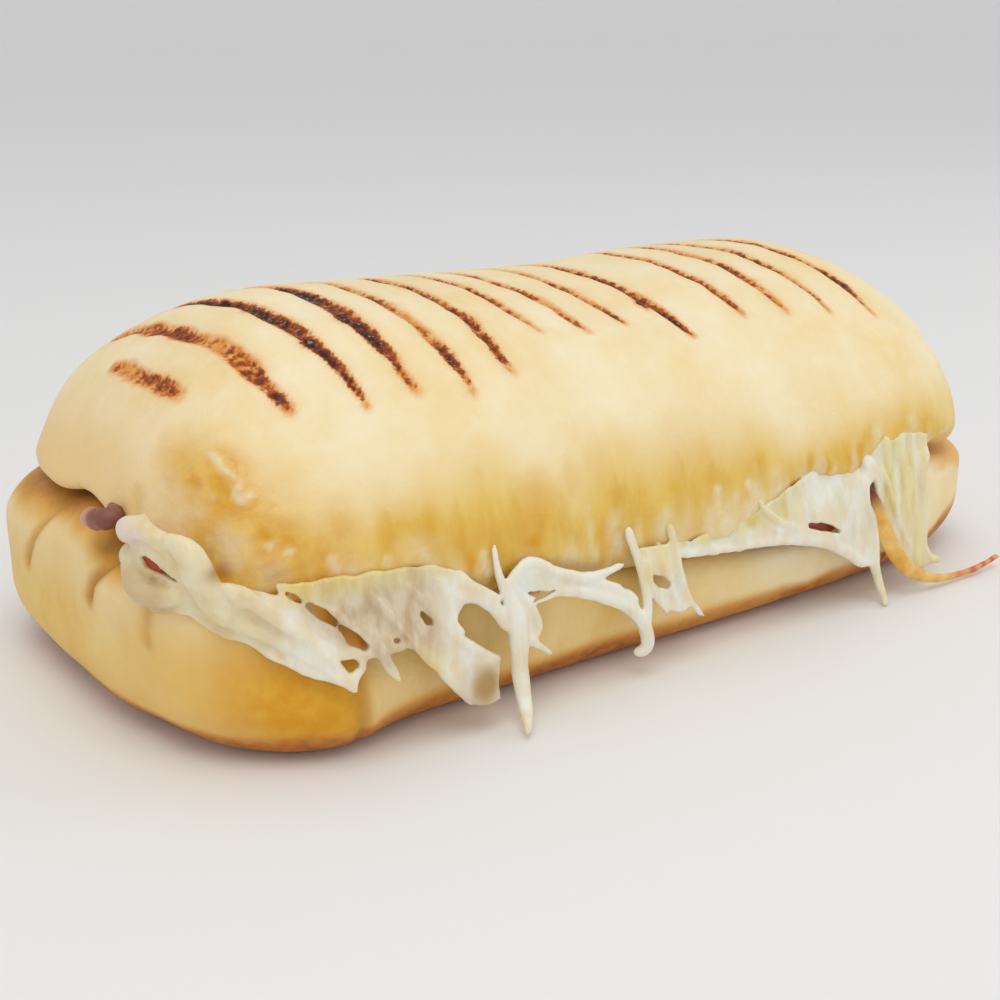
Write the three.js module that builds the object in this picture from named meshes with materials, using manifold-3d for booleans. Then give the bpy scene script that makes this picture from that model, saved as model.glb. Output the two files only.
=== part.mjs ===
// A pressed panini: a soft oblong roll cut through, filled with ham and melted cheese, and grilled on top.
// Millimetres. +X runs along the roll, -Y is the front where the cheese has run out, +Z is up.
// The origin is the middle of the flat base.
import * as THREE from 'three';
import Module from 'manifold-3d';

const wasm = await Module();
wasm.setup();

// Driving dimensions
const LENGTH = 204;
const WIDTH = 101.6;
const HEIGHT = 68.2;
const FIT_GAP = 0.35;

// Bottom half of the roll
const BOTTOM = {
  halfLength: LENGTH / 2,
  halfWidth: WIDTH / 2,
  squareness: 5.2,
  fullHeight: 14,
  endUndercut: 11.5,
  sideUndercut: 5.6,
  frontRimRadius: 3.5,
  leftRimRadius: 8,
};

// Top half of the roll, a dome on a soft lip
const TOP = {
  centreX: -1.85,
  centreY: -2.7,
  halfLength: 98.7,
  halfWidth: 51.3,
  widestHeight: 26.8,
  endDrop: 40.5,
  endPower: 2.03,
  sidePower: 2.29,
  lowSquareness: 4.6,
  crownSquareness: 3.6,
  frontLipRadius: 5,
  endLipRadius: 3.2,
  crownSag: 1.7,
  crownRise: 0.9,
};

// Faces where the roll was cut, and the layers between them
const CUT = { centreX: -0.9, centreY: -1.3, halfLength: 97, halfWidth: 49, squareness: 4.6 };
const CUT_RINGS = [0.3, 0.55, 0.72, 0.84];
const FILLING_HEIGHT = 8;
const HAM_THICKNESS = 2.2;
const HAM_REACH = 0.84;
const CHEESE_REACH = 0.93;

// Curtains of filling that hang out of the gap
const CURTAIN_ROWS = 4;
const CURTAIN_STEP = 5.4;
const CURTAIN_CLEARANCE = 1.8;
const CURTAIN_DROOP = 1.2;

// Mesh density
const COLUMNS = 62;
const DOME_RINGS = 8;
const CROWN_RING_SHARE = 0.6;
const ROUNDING_STEPS = 3;
const BASE_ROUNDING_STEPS = 4;
const OUTLINE_SAMPLES = 2880;
const STRAND_SIDES = 5;
const STRAND_STEP = 4.5;
const FOLD_SIDES = 6;

// Grill marks, each by where it crosses the crossing line and how far down the front it reaches
const MARKS = [
  { x: -86.2, frontY: -21, backY: 6 },
  { x: -75.6, frontY: -37 },
  { x: -64.7, frontY: -40 },
  { x: -54, frontY: -40 },
  { x: -43.3, frontY: -41 },
  { x: -32.5, frontY: -39 },
  { x: -21, frontY: -32 },
  { x: -11.5, frontY: -34 },
  { x: -1.2, frontY: -33 },
  { x: 10.1, frontY: -39 },
  { x: 27.5, frontY: -36 },
  { x: 38.6, frontY: -37 },
  { x: 49.3, frontY: -38 },
  { x: 61.2, frontY: -38 },
];
const MARK_SLANT = -0.09;
const MARK_WIDTH = 4.2;
const MARK_DEPTH = 0.9;
const MARK_CLEARANCE = 1.6;
const MARK_BACK_Y = 35;
const MARK_STEPS = 6;
const MARK_CROSSING_Y = -20;
const MARK_FULLNESS = 0.45;

const mix = (a, b, t) => a + (b - a) * t;

function ramp(from, to, value) {
  const t = Math.min(1, Math.max(0, (value - from) / (to - from)));
  return t * t * (3 - 2 * t);
}

const hill = (middle, reach, value) => Math.exp(-(((value - middle) / reach) ** 2));

// Plan outlines are superellipses. A place on one is given by its turn, from the right end counterclockwise.
function planPoint(turn, shape, inset = 0) {
  const along = Math.sign(Math.cos(turn)) * Math.abs(Math.cos(turn)) ** (2 / shape.squareness);
  const across = Math.sign(Math.sin(turn)) * Math.abs(Math.sin(turn)) ** (2 / shape.squareness);
  return [
    (shape.centreX ?? 0) + (shape.halfLength - inset) * along,
    (shape.centreY ?? 0) + (shape.halfWidth - inset) * across,
  ];
}

// How far out a plan point lies, from 0 in the middle to 1 on the outline
function planReach(x, y, shape) {
  const along = Math.abs((x - shape.centreX) / shape.halfLength) ** shape.squareness;
  const across = Math.abs((y - shape.centreY) / shape.halfWidth) ** shape.squareness;
  return (along + across) ** (1 / shape.squareness);
}

// Plan direction straight out of the outline
function planOutward(x, y, shape) {
  const slope = (offset, half) =>
    (Math.sign(offset) * Math.abs(offset / half) ** (shape.squareness - 1)) / half;
  const outX = slope(x - shape.centreX, shape.halfLength);
  const outY = slope(y - shape.centreY, shape.halfWidth);
  const length = Math.hypot(outX, outY) || 1;
  return [outX / length, outY / length];
}

// Turns spaced evenly along the outline
function evenTurns(count, shape) {
  const lengths = [0];
  let last = planPoint(0, shape);
  for (let i = 1; i <= OUTLINE_SAMPLES; i++) {
    const next = planPoint((2 * Math.PI * i) / OUTLINE_SAMPLES, shape);
    lengths.push(lengths[i - 1] + Math.hypot(next[0] - last[0], next[1] - last[1]));
    last = next;
  }
  const turns = [];
  let index = 0;
  for (let j = 0; j < count; j++) {
    const target = (lengths[OUTLINE_SAMPLES] * j) / count;
    while (lengths[index + 1] < target) index += 1;
    const part = (target - lengths[index]) / (lengths[index + 1] - lengths[index]);
    turns.push((2 * Math.PI * (index + part)) / OUTLINE_SAMPLES);
  }
  return turns;
}

const TURNS = evenTurns(COLUMNS, CUT);

// Height of the top half's lip: high over the left end, low along the front, where the cheese pulls it down
function lipHeight(x, y) {
  const front =
    31 - 9.5 * ramp(-75, 29, x) + 8.5 * ramp(38, 56, x) - 6 * ramp(74, 90, x) + 6 * ramp(-84, -97, x);
  const back = mix(36, 25, (x + 100) / 200);
  const leftRise = (3.8 * ramp(12, -12, y) + 2 * hill(-31, 8, y)) * ramp(-70, -92, x);
  return mix(back, front, ramp(-30, -45, y)) + leftRise * ramp(-50, -44, y);
}

// Opening between the halves at the rim: wide along the front, nearly shut at the ends
function rimGap(x, y) {
  const frontGap = 5 + 2.5 * ramp(-60, -90, x);
  const front = (frontGap - 1.5) * ramp(-2, -26, y) * (1 - ramp(74, 88, x));
  return 1.5 + front + 1.5 * ramp(10, 45, y);
}

// Where a plan point lies between the middle of the cut, 0, and its rim, 1, with the rim point beyond it
function cutPlace(x, y) {
  const reach = planReach(x, y, CUT);
  const out = 1 / Math.max(reach, 0.001);
  return { reach, rim: [mix(CUT.centreX, x, out), mix(CUT.centreY, y, out)] };
}

function gapHeight(x, y) {
  const { reach, rim } = cutPlace(x, y);
  return mix(FILLING_HEIGHT, rimGap(...rim), ramp(0.5, 1, reach));
}

function bottomCutHeight(x, y) {
  const { reach, rim } = cutPlace(x, y);
  const inside = 27 - 0.04 * x + 0.06 * y;
  const atRim = lipHeight(...rim) - rimGap(...rim);
  return mix(inside, atRim, ramp(0.3, 1, reach));
}

const topCutHeight = (x, y) => bottomCutHeight(x, y) + gapHeight(x, y);

function solidOf(positions, triangles) {
  const vertProperties = new Float32Array(positions.flat());
  const make = (order) => {
    const triVerts = new Uint32Array(order.flat());
    return new wasm.Manifold(new wasm.Mesh({ numProp: 3, vertProperties, triVerts }));
  };
  const solid = make(triangles);
  if (solid.volume() > 0) return solid;
  return make(triangles.map(([a, b, c]) => [a, c, b]));
}

const squareDistance = (a, b) => (a[0] - b[0]) ** 2 + (a[1] - b[1]) ** 2 + (a[2] - b[2]) ** 2;

// A closed solid of stacked rings, from a point under the first ring to a point over the last.
// Each quad is split along its shorter diagonal, so that surfaces a fixed gap apart are split alike.
function ringSolid(firstPoint, rings, lastPoint) {
  const count = rings[0].length;
  const positions = [firstPoint, ...rings.flat(), lastPoint];
  const last = positions.length - 1;
  const at = (ring, column) => 1 + ring * count + (column % count);
  const triangles = [];
  for (let j = 0; j < count; j++) {
    triangles.push([0, at(0, j + 1), at(0, j)]);
    for (let i = 0; i + 1 < rings.length; i++) {
      const [a, b, c, d] = [at(i, j), at(i, j + 1), at(i + 1, j + 1), at(i + 1, j)];
      const rising = squareDistance(positions[a], positions[c]);
      const falling = squareDistance(positions[b], positions[d]);
      triangles.push(...(rising < falling ? [[a, b, c], [a, c, d]] : [[a, b, d], [b, c, d]]));
    }
    triangles.push([last, at(rings.length - 1, j), at(rings.length - 1, j + 1)]);
  }
  return solidOf(positions, triangles);
}

function cutRing(reach, heightAt) {
  return TURNS.map((turn) => {
    const [rimX, rimY] = planPoint(turn, CUT);
    const x = mix(CUT.centreX, rimX, reach);
    const y = mix(CUT.centreY, rimY, reach);
    return [x, y, heightAt(x, y)];
  });
}

const cutCentre = (heightAt) => [CUT.centreX, CUT.centreY, heightAt(CUT.centreX, CUT.centreY)];

// Quarter-round steps: how far in and how far up, as shares of the radius
function quarterRound(steps) {
  return Array.from({ length: steps + 1 }, (_, i) => {
    const turn = (Math.PI / 2) * (i / steps);
    return { inset: 1 - Math.sin(turn), rise: 1 - Math.cos(turn) };
  });
}

// Soft swells of hand-shaped dough
function swell(x, y, z) {
  const along = 0.45 * Math.sin(x / 9.5 + 0.7) + 0.3 * Math.sin(x / 5.6 + 2.1 + y / 30);
  const around = 0.3 * Math.sin(y / 8 + x / 23);
  return (along + around) * ramp(66, 48, z);
}

// The front left corner of the bottom half: it bulges forward, and the end beside it is drawn in
function cornerShift(x, y, z) {
  const low = ramp(32, 10, z);
  const forward = 5.2 * hill(-76, 13, x) * ramp(-28, -44, y) * low;
  const inward = 2.4 * hill(-29, 11, y) * ramp(-84, -96, x) * low;
  return [inward, -forward];
}

// The crown sags over the middle and stands up a little to the left of it
function crownSag(x, z) {
  const sag = TOP.crownSag * hill(6, 28, x) - TOP.crownRise * hill(-56, 14, x);
  return sag * ramp(54, 67, z);
}

function bottomHalf(grow) {
  const outline = (turn, under, inset, z) => {
    const shape = {
      halfLength: BOTTOM.halfLength - BOTTOM.endUndercut * under + grow,
      halfWidth: BOTTOM.halfWidth - BOTTOM.sideUndercut * under + grow,
      squareness: BOTTOM.squareness,
    };
    const [x, y] = planPoint(turn, shape, inset);
    const [shiftX, shiftY] = cornerShift(x, y, z);
    return [x + shiftX, y + shiftY, z];
  };
  const rimColumn = (turn) => {
    const [outX] = outline(turn, 0, 0, 0);
    const radius = mix(BOTTOM.frontRimRadius, BOTTOM.leftRimRadius, ramp(-82, -99, outX));
    const [x, y] = outline(turn, 0, radius, HEIGHT);
    return { radius, height: bottomCutHeight(x, y) + grow };
  };
  const edge = quarterRound(BASE_ROUNDING_STEPS).map(({ inset, rise }) =>
    TURNS.map((turn) => outline(turn, inset, 0, BOTTOM.fullHeight * rise - grow))
  );
  const wall = [0.5, 1].map((share) =>
    TURNS.map((turn) => {
      const { radius, height } = rimColumn(turn);
      return outline(turn, 0, 0, mix(BOTTOM.fullHeight, height - radius, share));
    })
  );
  const rim = quarterRound(ROUNDING_STEPS).slice(1).map(({ inset, rise }) =>
    TURNS.map((turn) => {
      const { radius, height } = rimColumn(turn);
      return outline(turn, 0, radius * rise, height - radius * inset);
    })
  );
  const raised = (x, y) => bottomCutHeight(x, y) + grow;
  const cut = CUT_RINGS.map((reach) => cutRing(reach, raised)).reverse();
  return ringSolid([0, 0, -grow], [...edge, ...wall, ...rim, ...cut], cutCentre(raised));
}

// The dome's outline at a height, and the height of its surface over a plan point
function domeShape(z, grow = 0) {
  const rise = Math.min(1, Math.max(0, (z - TOP.widestHeight) / (HEIGHT - TOP.widestHeight)));
  const endShare = (1 - rise ** TOP.endPower) ** (1 / TOP.endPower);
  const sideShare = (1 - rise ** TOP.sidePower) ** (1 / TOP.sidePower);
  return {
    centreX: TOP.centreX,
    centreY: TOP.centreY,
    halfLength: TOP.halfLength - TOP.endDrop * (1 - endShare) + grow,
    halfWidth: TOP.halfWidth * sideShare + grow,
    squareness: mix(TOP.lowSquareness, TOP.crownSquareness, rise),
  };
}

function domeHeight(x, y) {
  let low = TOP.widestHeight;
  let high = HEIGHT;
  for (let i = 0; i < 24; i++) {
    const middle = (low + high) / 2;
    if (planReach(x, y, domeShape(middle)) < 1) low = middle;
    else high = middle;
  }
  return low - crownSag(x, low);
}

// How far up the dome's side a height is, from below 0 on the straight lip to a quarter turn at the crown
function domeClimb(z) {
  const rise = (z - TOP.widestHeight) / (HEIGHT - TOP.widestHeight);
  if (rise < 0) return (z - TOP.widestHeight) / TOP.halfWidth;
  return Math.asin(Math.min(1, rise ** (TOP.sidePower / 2)));
}

function heightOfClimb(climb) {
  if (climb < 0) return TOP.widestHeight + climb * TOP.halfWidth;
  return mix(TOP.widestHeight, HEIGHT, Math.sin(climb) ** (2 / TOP.sidePower));
}

// How far the dome stands out past its plain form
function domeBulge(x, y, z) {
  const leftEnd = 0.5 * hill(46, 8, z) * ramp(-70, -95, x);
  const rightEnd = 1.5 * hill(33, 9, z) * ramp(60, 88, x);
  return swell(x, y, z) + leftEnd + rightEnd;
}

function lipRadius(x) {
  return mix(TOP.frontLipRadius, TOP.endLipRadius, ramp(80, 96, Math.abs(x)));
}

function topHalf(grow) {
  const lipColumn = (turn) => {
    const radius = lipRadius(planPoint(turn, domeShape(TOP.widestHeight))[0]);
    const rim = planPoint(turn, domeShape(TOP.widestHeight), radius);
    return { radius, height: topCutHeight(...rim) - grow };
  };
  const domePoint = (turn, z, inset) => {
    const shape = domeShape(z, grow);
    const [x, y] = planPoint(turn, shape, inset);
    const [outX, outY] = planOutward(x, y, shape);
    const bulge = domeBulge(x, y, z);
    return [x + bulge * outX, y + bulge * outY, z - crownSag(x, z)];
  };
  const lowered = (x, y) => topCutHeight(x, y) - grow;
  const cut = CUT_RINGS.map((reach) => cutRing(reach, lowered));
  const lip = quarterRound(ROUNDING_STEPS).map(({ inset, rise }) =>
    TURNS.map((turn) => {
      const { radius, height } = lipColumn(turn);
      return domePoint(turn, height + radius * rise, radius * inset);
    })
  );
  const dome = Array.from({ length: DOME_RINGS }, (_, i) =>
    TURNS.map((turn) => {
      const { radius, height } = lipColumn(turn);
      const climb = mix(domeClimb(height + radius), Math.PI / 2, (i + 1) / (DOME_RINGS + CROWN_RING_SHARE));
      return domePoint(turn, heightOfClimb(climb), 0);
    })
  );
  const crown = HEIGHT + grow - crownSag(TOP.centreX, HEIGHT);
  return ringSolid(cutCentre(lowered), [...cut, ...lip, ...dome], [TOP.centreX, TOP.centreY, crown]);
}

// A bar swept over stations, each a middle point, a half width and a half height
function sweptBar(stations, sides) {
  const rings = stations.map(({ middle, across, up }) =>
    Array.from({ length: sides }, (_, k) => {
      const turn = (2 * Math.PI * (k + 0.5)) / sides;
      const sideways = middle.clone().addScaledVector(across, Math.cos(turn));
      return sideways.addScaledVector(up, Math.sin(turn)).toArray();
    })
  );
  return ringSolid(stations[0].middle.toArray(), rings, stations.at(-1).middle.toArray());
}

// A V-shaped cutter along one grill mark, its edges standing clear over the crust
function grillMark({ x: markX, frontY, backY = MARK_BACK_Y }) {
  const rings = Array.from({ length: MARK_STEPS + 1 }, (_, i) => {
    const share = i / MARK_STEPS;
    const y = mix(frontY, backY, share);
    const x = markX + MARK_SLANT * (y - MARK_CROSSING_Y);
    const size = Math.max(0.1, Math.sin(Math.PI * share) ** MARK_FULLNESS);
    const depth = MARK_DEPTH * size;
    const half = (MARK_WIDTH / 2) * size * (1 + MARK_CLEARANCE / depth);
    const surface = domeHeight(x, y);
    const top = surface + MARK_CLEARANCE;
    return [[x - half, y, top], [x, y, surface - depth], [x + half, y, top]];
  });
  const middleOf = (ring) => [0, 1, 2].map((k) => (ring[0][k] + ring[1][k] + ring[2][k]) / 3);
  return ringSolid(middleOf(rings[0]), rings, middleOf(rings.at(-1)));
}

// A strand along a smooth curve, given as points with a radius each, longer by grow at both ends
function strand(points, { grow = 0, sides = STRAND_SIDES, stepLength = STRAND_STEP } = {}) {
  const curve = new THREE.CatmullRomCurve3(points.map(([x, y, z]) => new THREE.Vector3(x, y, z)));
  const steps = Math.max(3, Math.round(curve.getLength() / stepLength));
  const frames = curve.computeFrenetFrames(steps, false);
  const stations = Array.from({ length: steps + 1 }, (_, i) => {
    const place = (i / steps) * (points.length - 1);
    const index = Math.min(points.length - 2, Math.floor(place));
    const radius = mix(points[index][3], points[index + 1][3], place - index) + grow;
    const ahead = i === 0 ? -grow : i === steps ? grow : 0;
    return {
      middle: curve.getPoint(i / steps).addScaledVector(frames.tangents[i], ahead),
      across: frames.normals[i].clone().multiplyScalar(radius),
      up: frames.binormals[i].clone().multiplyScalar(radius),
    };
  });
  return sweptBar(stations, sides);
}

// One block of a sheet between four front and four back corners, each face split from its lowest corner
// number, so that neighbouring blocks share their faces exactly
const BLOCK_FACES = [[0, 1, 2, 3], [7, 6, 5, 4], [0, 4, 5, 1], [1, 5, 6, 2], [2, 6, 7, 3], [3, 7, 4, 0]];

function sheetBlock(points, numbers) {
  const triangles = BLOCK_FACES.flatMap((face) => {
    const start = face.indexOf(face.reduce((best, k) => (numbers[k] < numbers[best] ? k : best)));
    const [a, b, c, d] = [0, 1, 2, 3].map((k) => face[(start + k) % 4]);
    return [[a, b, c], [a, c, d]];
  });
  return solidOf(points, triangles);
}

// Lengthen a line of points at both ends
function stretched(line, grow) {
  const beyond = (end, before) => {
    const step = new THREE.Vector3(...end).sub(new THREE.Vector3(...before)).setLength(grow);
    return end.map((value, k) => value + step.getComponent(k));
  };
  return [beyond(line[0], line[1]), ...line.slice(1, -1), beyond(line.at(-1), line.at(-2))];
}

const transposed = (grid) => grid[0].map((_, j) => grid.map((column) => column[j]));

// A thin sheet through a grid of points, thinner at its sides and hem, larger all round by grow
function thinSheet(plainGrid, thickness, grow) {
  const longer = plainGrid.map((column) => stretched(column, grow));
  const grid = transposed(transposed(longer).map((row) => stretched(row, grow)));
  const columns = grid.length;
  const rows = grid[0].length;
  const vector = (i, j) => new THREE.Vector3(...grid[i][j]);
  const side = (i, j, sign) => {
    const along = vector(Math.min(i + 1, columns - 1), j).sub(vector(Math.max(i - 1, 0), j));
    const down = vector(i, Math.min(j + 1, rows - 1)).sub(vector(i, Math.max(j - 1, 0)));
    const edge = i === 0 || i === columns - 1 || j === rows - 1 ? 0.5 : 1;
    const normal = along.cross(down).normalize();
    return vector(i, j).addScaledVector(normal, sign * ((thickness * edge) / 2 + grow)).toArray();
  };
  const blocks = [];
  for (let i = 0; i + 1 < columns; i++) {
    for (let j = 0; j + 1 < rows; j++) {
      const corners = [[i, j], [i + 1, j], [i + 1, j + 1], [i, j + 1]];
      const points = [1, -1].flatMap((sign) => corners.map(([a, b]) => side(a, b, sign)));
      const numbers = [0, 1].flatMap((face) => corners.map(([a, b]) => (face * columns + a) * rows + b));
      blocks.push(sheetBlock(points, numbers));
    }
  }
  return wasm.Manifold.union(blocks);
}

// Walk along the bottom half's outline from the middle of the front, left is negative
const OUTLINE_WALK = (() => {
  const walk = [];
  let length = 0;
  for (let i = 0; i <= OUTLINE_SAMPLES; i++) {
    const point = planPoint(-Math.PI + (Math.PI * i) / OUTLINE_SAMPLES, BOTTOM);
    const last = walk.at(-1)?.point ?? point;
    length += Math.hypot(point[0] - last[0], point[1] - last[1]);
    walk.push({ length, point });
  }
  const middle = walk[OUTLINE_SAMPLES / 2].length;
  return walk.map(({ length: walked, point }) => ({ at: walked - middle, point }));
})();

function outlineAt(walked, outward) {
  const index = OUTLINE_WALK.findIndex(({ at }) => at >= walked);
  const next = OUTLINE_WALK[Math.max(1, index)];
  const before = OUTLINE_WALK[Math.max(1, index) - 1];
  const share = (walked - before.at) / (next.at - before.at);
  const x = mix(before.point[0], next.point[0], share);
  const y = mix(before.point[1], next.point[1], share);
  const length = Math.hypot(next.point[0] - before.point[0], next.point[1] - before.point[1]);
  const normalX = (next.point[1] - before.point[1]) / length;
  const normalY = -(next.point[0] - before.point[0]) / length;
  return [x + normalX * outward, y + normalY * outward];
}

// A curtain that leaves the gap between the halves and hangs in front of the bottom half.
// Each hem entry is how far along the outline the root is, the same for the hem, and the hem's height.
// The gap share says how far up in the gap the curtain starts. A deep root lies at a share of the outline.
function curtain(spec) {
  const { hem, thickness, outward = 3.6, rootInset = 2.5, deepRoot, rows = CURTAIN_ROWS } = spec;
  const { gapShare = 0.5, grow = 0 } = spec;
  const spots = hem.slice(1).flatMap((next, i) => {
    const pieces = Math.max(1, Math.round(Math.abs(next[0] - hem[i][0]) / CURTAIN_STEP));
    return Array.from({ length: pieces }, (_, k) =>
      hem[i].map((value, index) => mix(value, next[index], k / pieces))
    );
  });
  spots.push(hem.at(-1));
  const inGap = ([x, y]) => [x, y, bottomCutHeight(x, y) + gapShare * gapHeight(x, y)];
  const grid = spots.map(([root, foot, footHeight]) => {
    const roots = [inGap(outlineAt(root, -rootInset))];
    if (deepRoot) roots.unshift(inGap(outlineAt(root, 0).map((value) => value * deepRoot)));
    const falls = Array.from({ length: rows }, (_, k) => {
      const fall = k / (rows - 1);
      const out = mix(CURTAIN_CLEARANCE, outward, Math.sqrt(fall));
      const height = mix(roots.at(-1)[2], footHeight, fall ** CURTAIN_DROOP);
      return [...outlineAt(mix(root, foot, fall), out), height];
    });
    return [...roots, ...falls];
  });
  return thinSheet(grid, thickness, grow);
}

// The flaps of the ham slice that show, as curtains, and its rolled edge at the left corner, each point of
// it with a height over the cut and a radius
const HAM_FLAPS = [
  { hem: [[-57, -57, 9], [-52, -51.5, 5.5], [-47, -47.5, 6.5]], outward: 2 },
  { hem: [[27, 28, 16], [34, 34, 14], [44, 44, 12]], rows: 2, outward: 2 },
  { hem: [[-110, -110, 34.5], [-104, -104, 33.5], [-99, -99, 32.5]], rows: 3, outward: 3.4 },
];
const HAM_FLAP_ROOT_INSET = 3;
const HAM_FLAP_DEEP_ROOT = 0.78;
const HAM_FLAP_THICKNESS = 1.4;
const HAM_FLAP_GAP_SHARE = 0.32;
const HAM_FLAP_ROOM = 0.6;
const HAM_ROLL_SIDES = 7;
const HAM_ROLL = [[-77, -24, 1.2, 1.2], [-84, -22, 1.9, 1.6], [-90, -20, 2.4, 2.1], [-96.2, -17, 2.4, 2.2]];

// A layer of the filling out to a share of the way to the rim
function layer(reachLimit, lowHeight, highHeight) {
  const reaches = [...CUT_RINGS.filter((reach) => reach < reachLimit), reachLimit];
  const low = reaches.map((reach) => cutRing(reach, lowHeight));
  const high = reaches.map((reach) => cutRing(reach, highHeight)).reverse();
  return ringSolid(cutCentre(lowHeight), [...low, ...high], cutCentre(highHeight));
}

// The flaps and the rolled edge, which the cheese keeps clear of
function hamEdges(grow) {
  const shared = {
    thickness: HAM_FLAP_THICKNESS,
    rootInset: HAM_FLAP_ROOT_INSET,
    deepRoot: HAM_FLAP_DEEP_ROOT,
    gapShare: HAM_FLAP_GAP_SHARE,
    grow,
  };
  const flaps = HAM_FLAPS.map((flap) => curtain({ ...flap, ...shared }));
  const roll = HAM_ROLL.map(([x, y, lift, radius]) => [x, y, bottomCutHeight(x, y) + lift, radius]);
  return wasm.Manifold.union([...flaps, strand(roll, { grow, sides: HAM_ROLL_SIDES })]);
}

function hamSlice() {
  const low = (x, y) => bottomCutHeight(x, y) + FIT_GAP;
  const high = (x, y) => low(x, y) + HAM_THICKNESS;
  return layer(HAM_REACH, low, high).add(hamEdges(0));
}

// The strip of ham that has slid out at the right and curls along the ground
const HAM_STRIP = [
  [45, -46.5, 25.5], [47.5, -52, 23.5], [49, -55.5, 18.5], [52, -57.2, 12.5], [56.5, -58, 7.2],
  [63, -58.2, 3.6], [70, -58.3, 2.2], [78, -58.2, 1.9], [88, -57.6, 2.6],
];
const HAM_STRIP_WIDTH = 3.4;
const HAM_STRIP_THICKNESS = 1.3;
const HAM_STRIP_STEPS = 16;
const HAM_STRIP_TIP_SHARE = 0.4;

function hamStrip(grow) {
  const curve = new THREE.CatmullRomCurve3(HAM_STRIP.map((point) => new THREE.Vector3(...point)));
  const stations = Array.from({ length: HAM_STRIP_STEPS + 1 }, (_, i) => {
    const share = i / HAM_STRIP_STEPS;
    const along = curve.getTangent(share);
    const out = new THREE.Vector3(0, -1, 0).cross(along).normalize();
    const flat = along.clone().cross(out).normalize();
    const width = HAM_STRIP_WIDTH * mix(1, HAM_STRIP_TIP_SHARE, ramp(0.3, 1, share));
    return {
      middle: curve.getPoint(share),
      across: out.multiplyScalar(width / 2 + grow),
      up: flat.multiplyScalar(HAM_STRIP_THICKNESS / 2 + grow),
    };
  });
  return sweptBar(stations, 6);
}

// Melted cheese: curtains as above, then strands as points with a radius each
const CHEESE_CURTAINS = [
  {
    hem: [[-117, -116, 35], [-112, -112, 31], [-108, -108, 27.5], [-98, -98, 28], [-92, -92, 23],
      [-85, -85, 19], [-78, -78, 15.5], [-74, -73, 13]],
    thickness: 3,
    outward: 2.6,
  },
  { hem: [[-76, -76, 21], [-71, -70, 16], [-66, -66, 20], [-60, -58, 14.5], [-56, -54, 12]], thickness: 1.8 },
  { hem: [[-58, -56, 14], [-53, -50.5, 9], [-50, -47.5, 12], [-47, -45, 18]], thickness: 1.6 },
  { hem: [[-24, -22, 20], [-19, -17, 17], [-13, -14, 18.5], [-9, -10, 14.5], [-6, -7, 19]], thickness: 1.6 },
  { hem: [[-8, -6, 20], [4, 4, 19], [17, 17, 18.5], [26, 26, 17.5]], thickness: 1.8 },
  { hem: [[25, 26, 18], [34, 33, 15.5], [40, 40, 12], [48, 47, 9.5]], thickness: 2.2 },
  { hem: [[50, 57, 8.5], [56, 60.5, 7.5], [62, 64, 8.5]], thickness: 2.4 },
];
const CHEESE_STRANDS = [
  [[-47.5, -51, 29, 0.8], [-46.5, -55, 27, 1], [-44.5, -56.5, 20, 1.5], [-43.2, -56.2, 14, 1.2],
    [-43, -56.5, 8, 1], [-41.8, -57.5, 3.4, 0.9], [-42.5, -60, 1.1, 0.9], [-45, -63, 0.8, 0.6]],
  [[-56, -51, 27, 1.2], [-54, -55, 26, 1.3], [-50, -56, 24, 1.1], [-46.5, -56.3, 21.5, 1.1],
    [-44.5, -56.4, 18, 1.1]],
  [[-47, -50, 26.5, 1.2], [-44.5, -55, 25.8, 1], [-41, -57.2, 27, 0.9], [-37, -57.2, 26.2, 1],
    [-29, -56.6, 23, 1.2], [-23.5, -56.2, 24, 0.8], [-19.5, -55, 25, 0.6]],
  [[-33, -56.8, 24.8, 1], [-28, -56.5, 22.8, 1.2], [-22, -56.4, 19.2, 1], [-17.5, -56.4, 16, 1],
    [-14.6, -56.5, 12.5, 1.1], [-13, -56.2, 8.5, 1.2], [-12.6, -55.5, 6, 1.2], [-14.5, -54.2, 4.8, 0.8]],
  [[-44, -50, 25.5, 1], [-41.6, -55.2, 22.5, 0.8], [-39.6, -56, 17.8, 0.8], [-41.6, -56.4, 15.2, 0.7],
    [-38.5, -56.6, 13, 0.5], [-35.8, -56.6, 11, 0.4]],
  [[-7.5, -51, 23, 0.8], [-6.6, -55, 20, 0.9], [-5.4, -55.6, 16.5, 0.9], [-3.4, -55.4, 13.5, 0.7],
    [-1.2, -54.6, 11, 0.5]],
  [[12, -54.2, 28.5, 0.6], [17, -56, 25.2, 0.8], [22.5, -56.4, 21.5, 1], [29, -56.3, 18.8, 1.1],
    [36, -56, 15, 1], [43, -55.8, 11, 1.1]],
  [[42, -55.5, 14, 1.6], [44.6, -56.4, 10.5, 1.3], [48, -57.8, 5.6, 0.9], [50, -59.4, 1, 0.7]],
  [[-75, -53.4, 14, 0.9], [-73, -54.2, 17, 0.7], [-70, -54.6, 20, 0.8], [-67, -54.4, 22, 1]],
];

// The bead of cheese pressed out along the front, as places along the outline with a radius each
const CHEESE_BEAD = { from: -104, to: 66, pieces: 24, radius: 2.7, inward: 1.4, stepLength: 8 };

function cheeseBead() {
  const { from, to, pieces, radius, inward, stepLength } = CHEESE_BEAD;
  const points = Array.from({ length: pieces + 1 }, (_, i) => {
    const [x, y] = outlineAt(mix(from, to, i / pieces), -inward);
    const swelling = 0.5 * Math.sin(i * 1.9) + 0.3 * Math.sin(i * 3.1);
    return [x, y, bottomCutHeight(x, y) + 0.6 * gapHeight(x, y), radius + swelling];
  });
  return strand(points, { stepLength });
}

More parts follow.
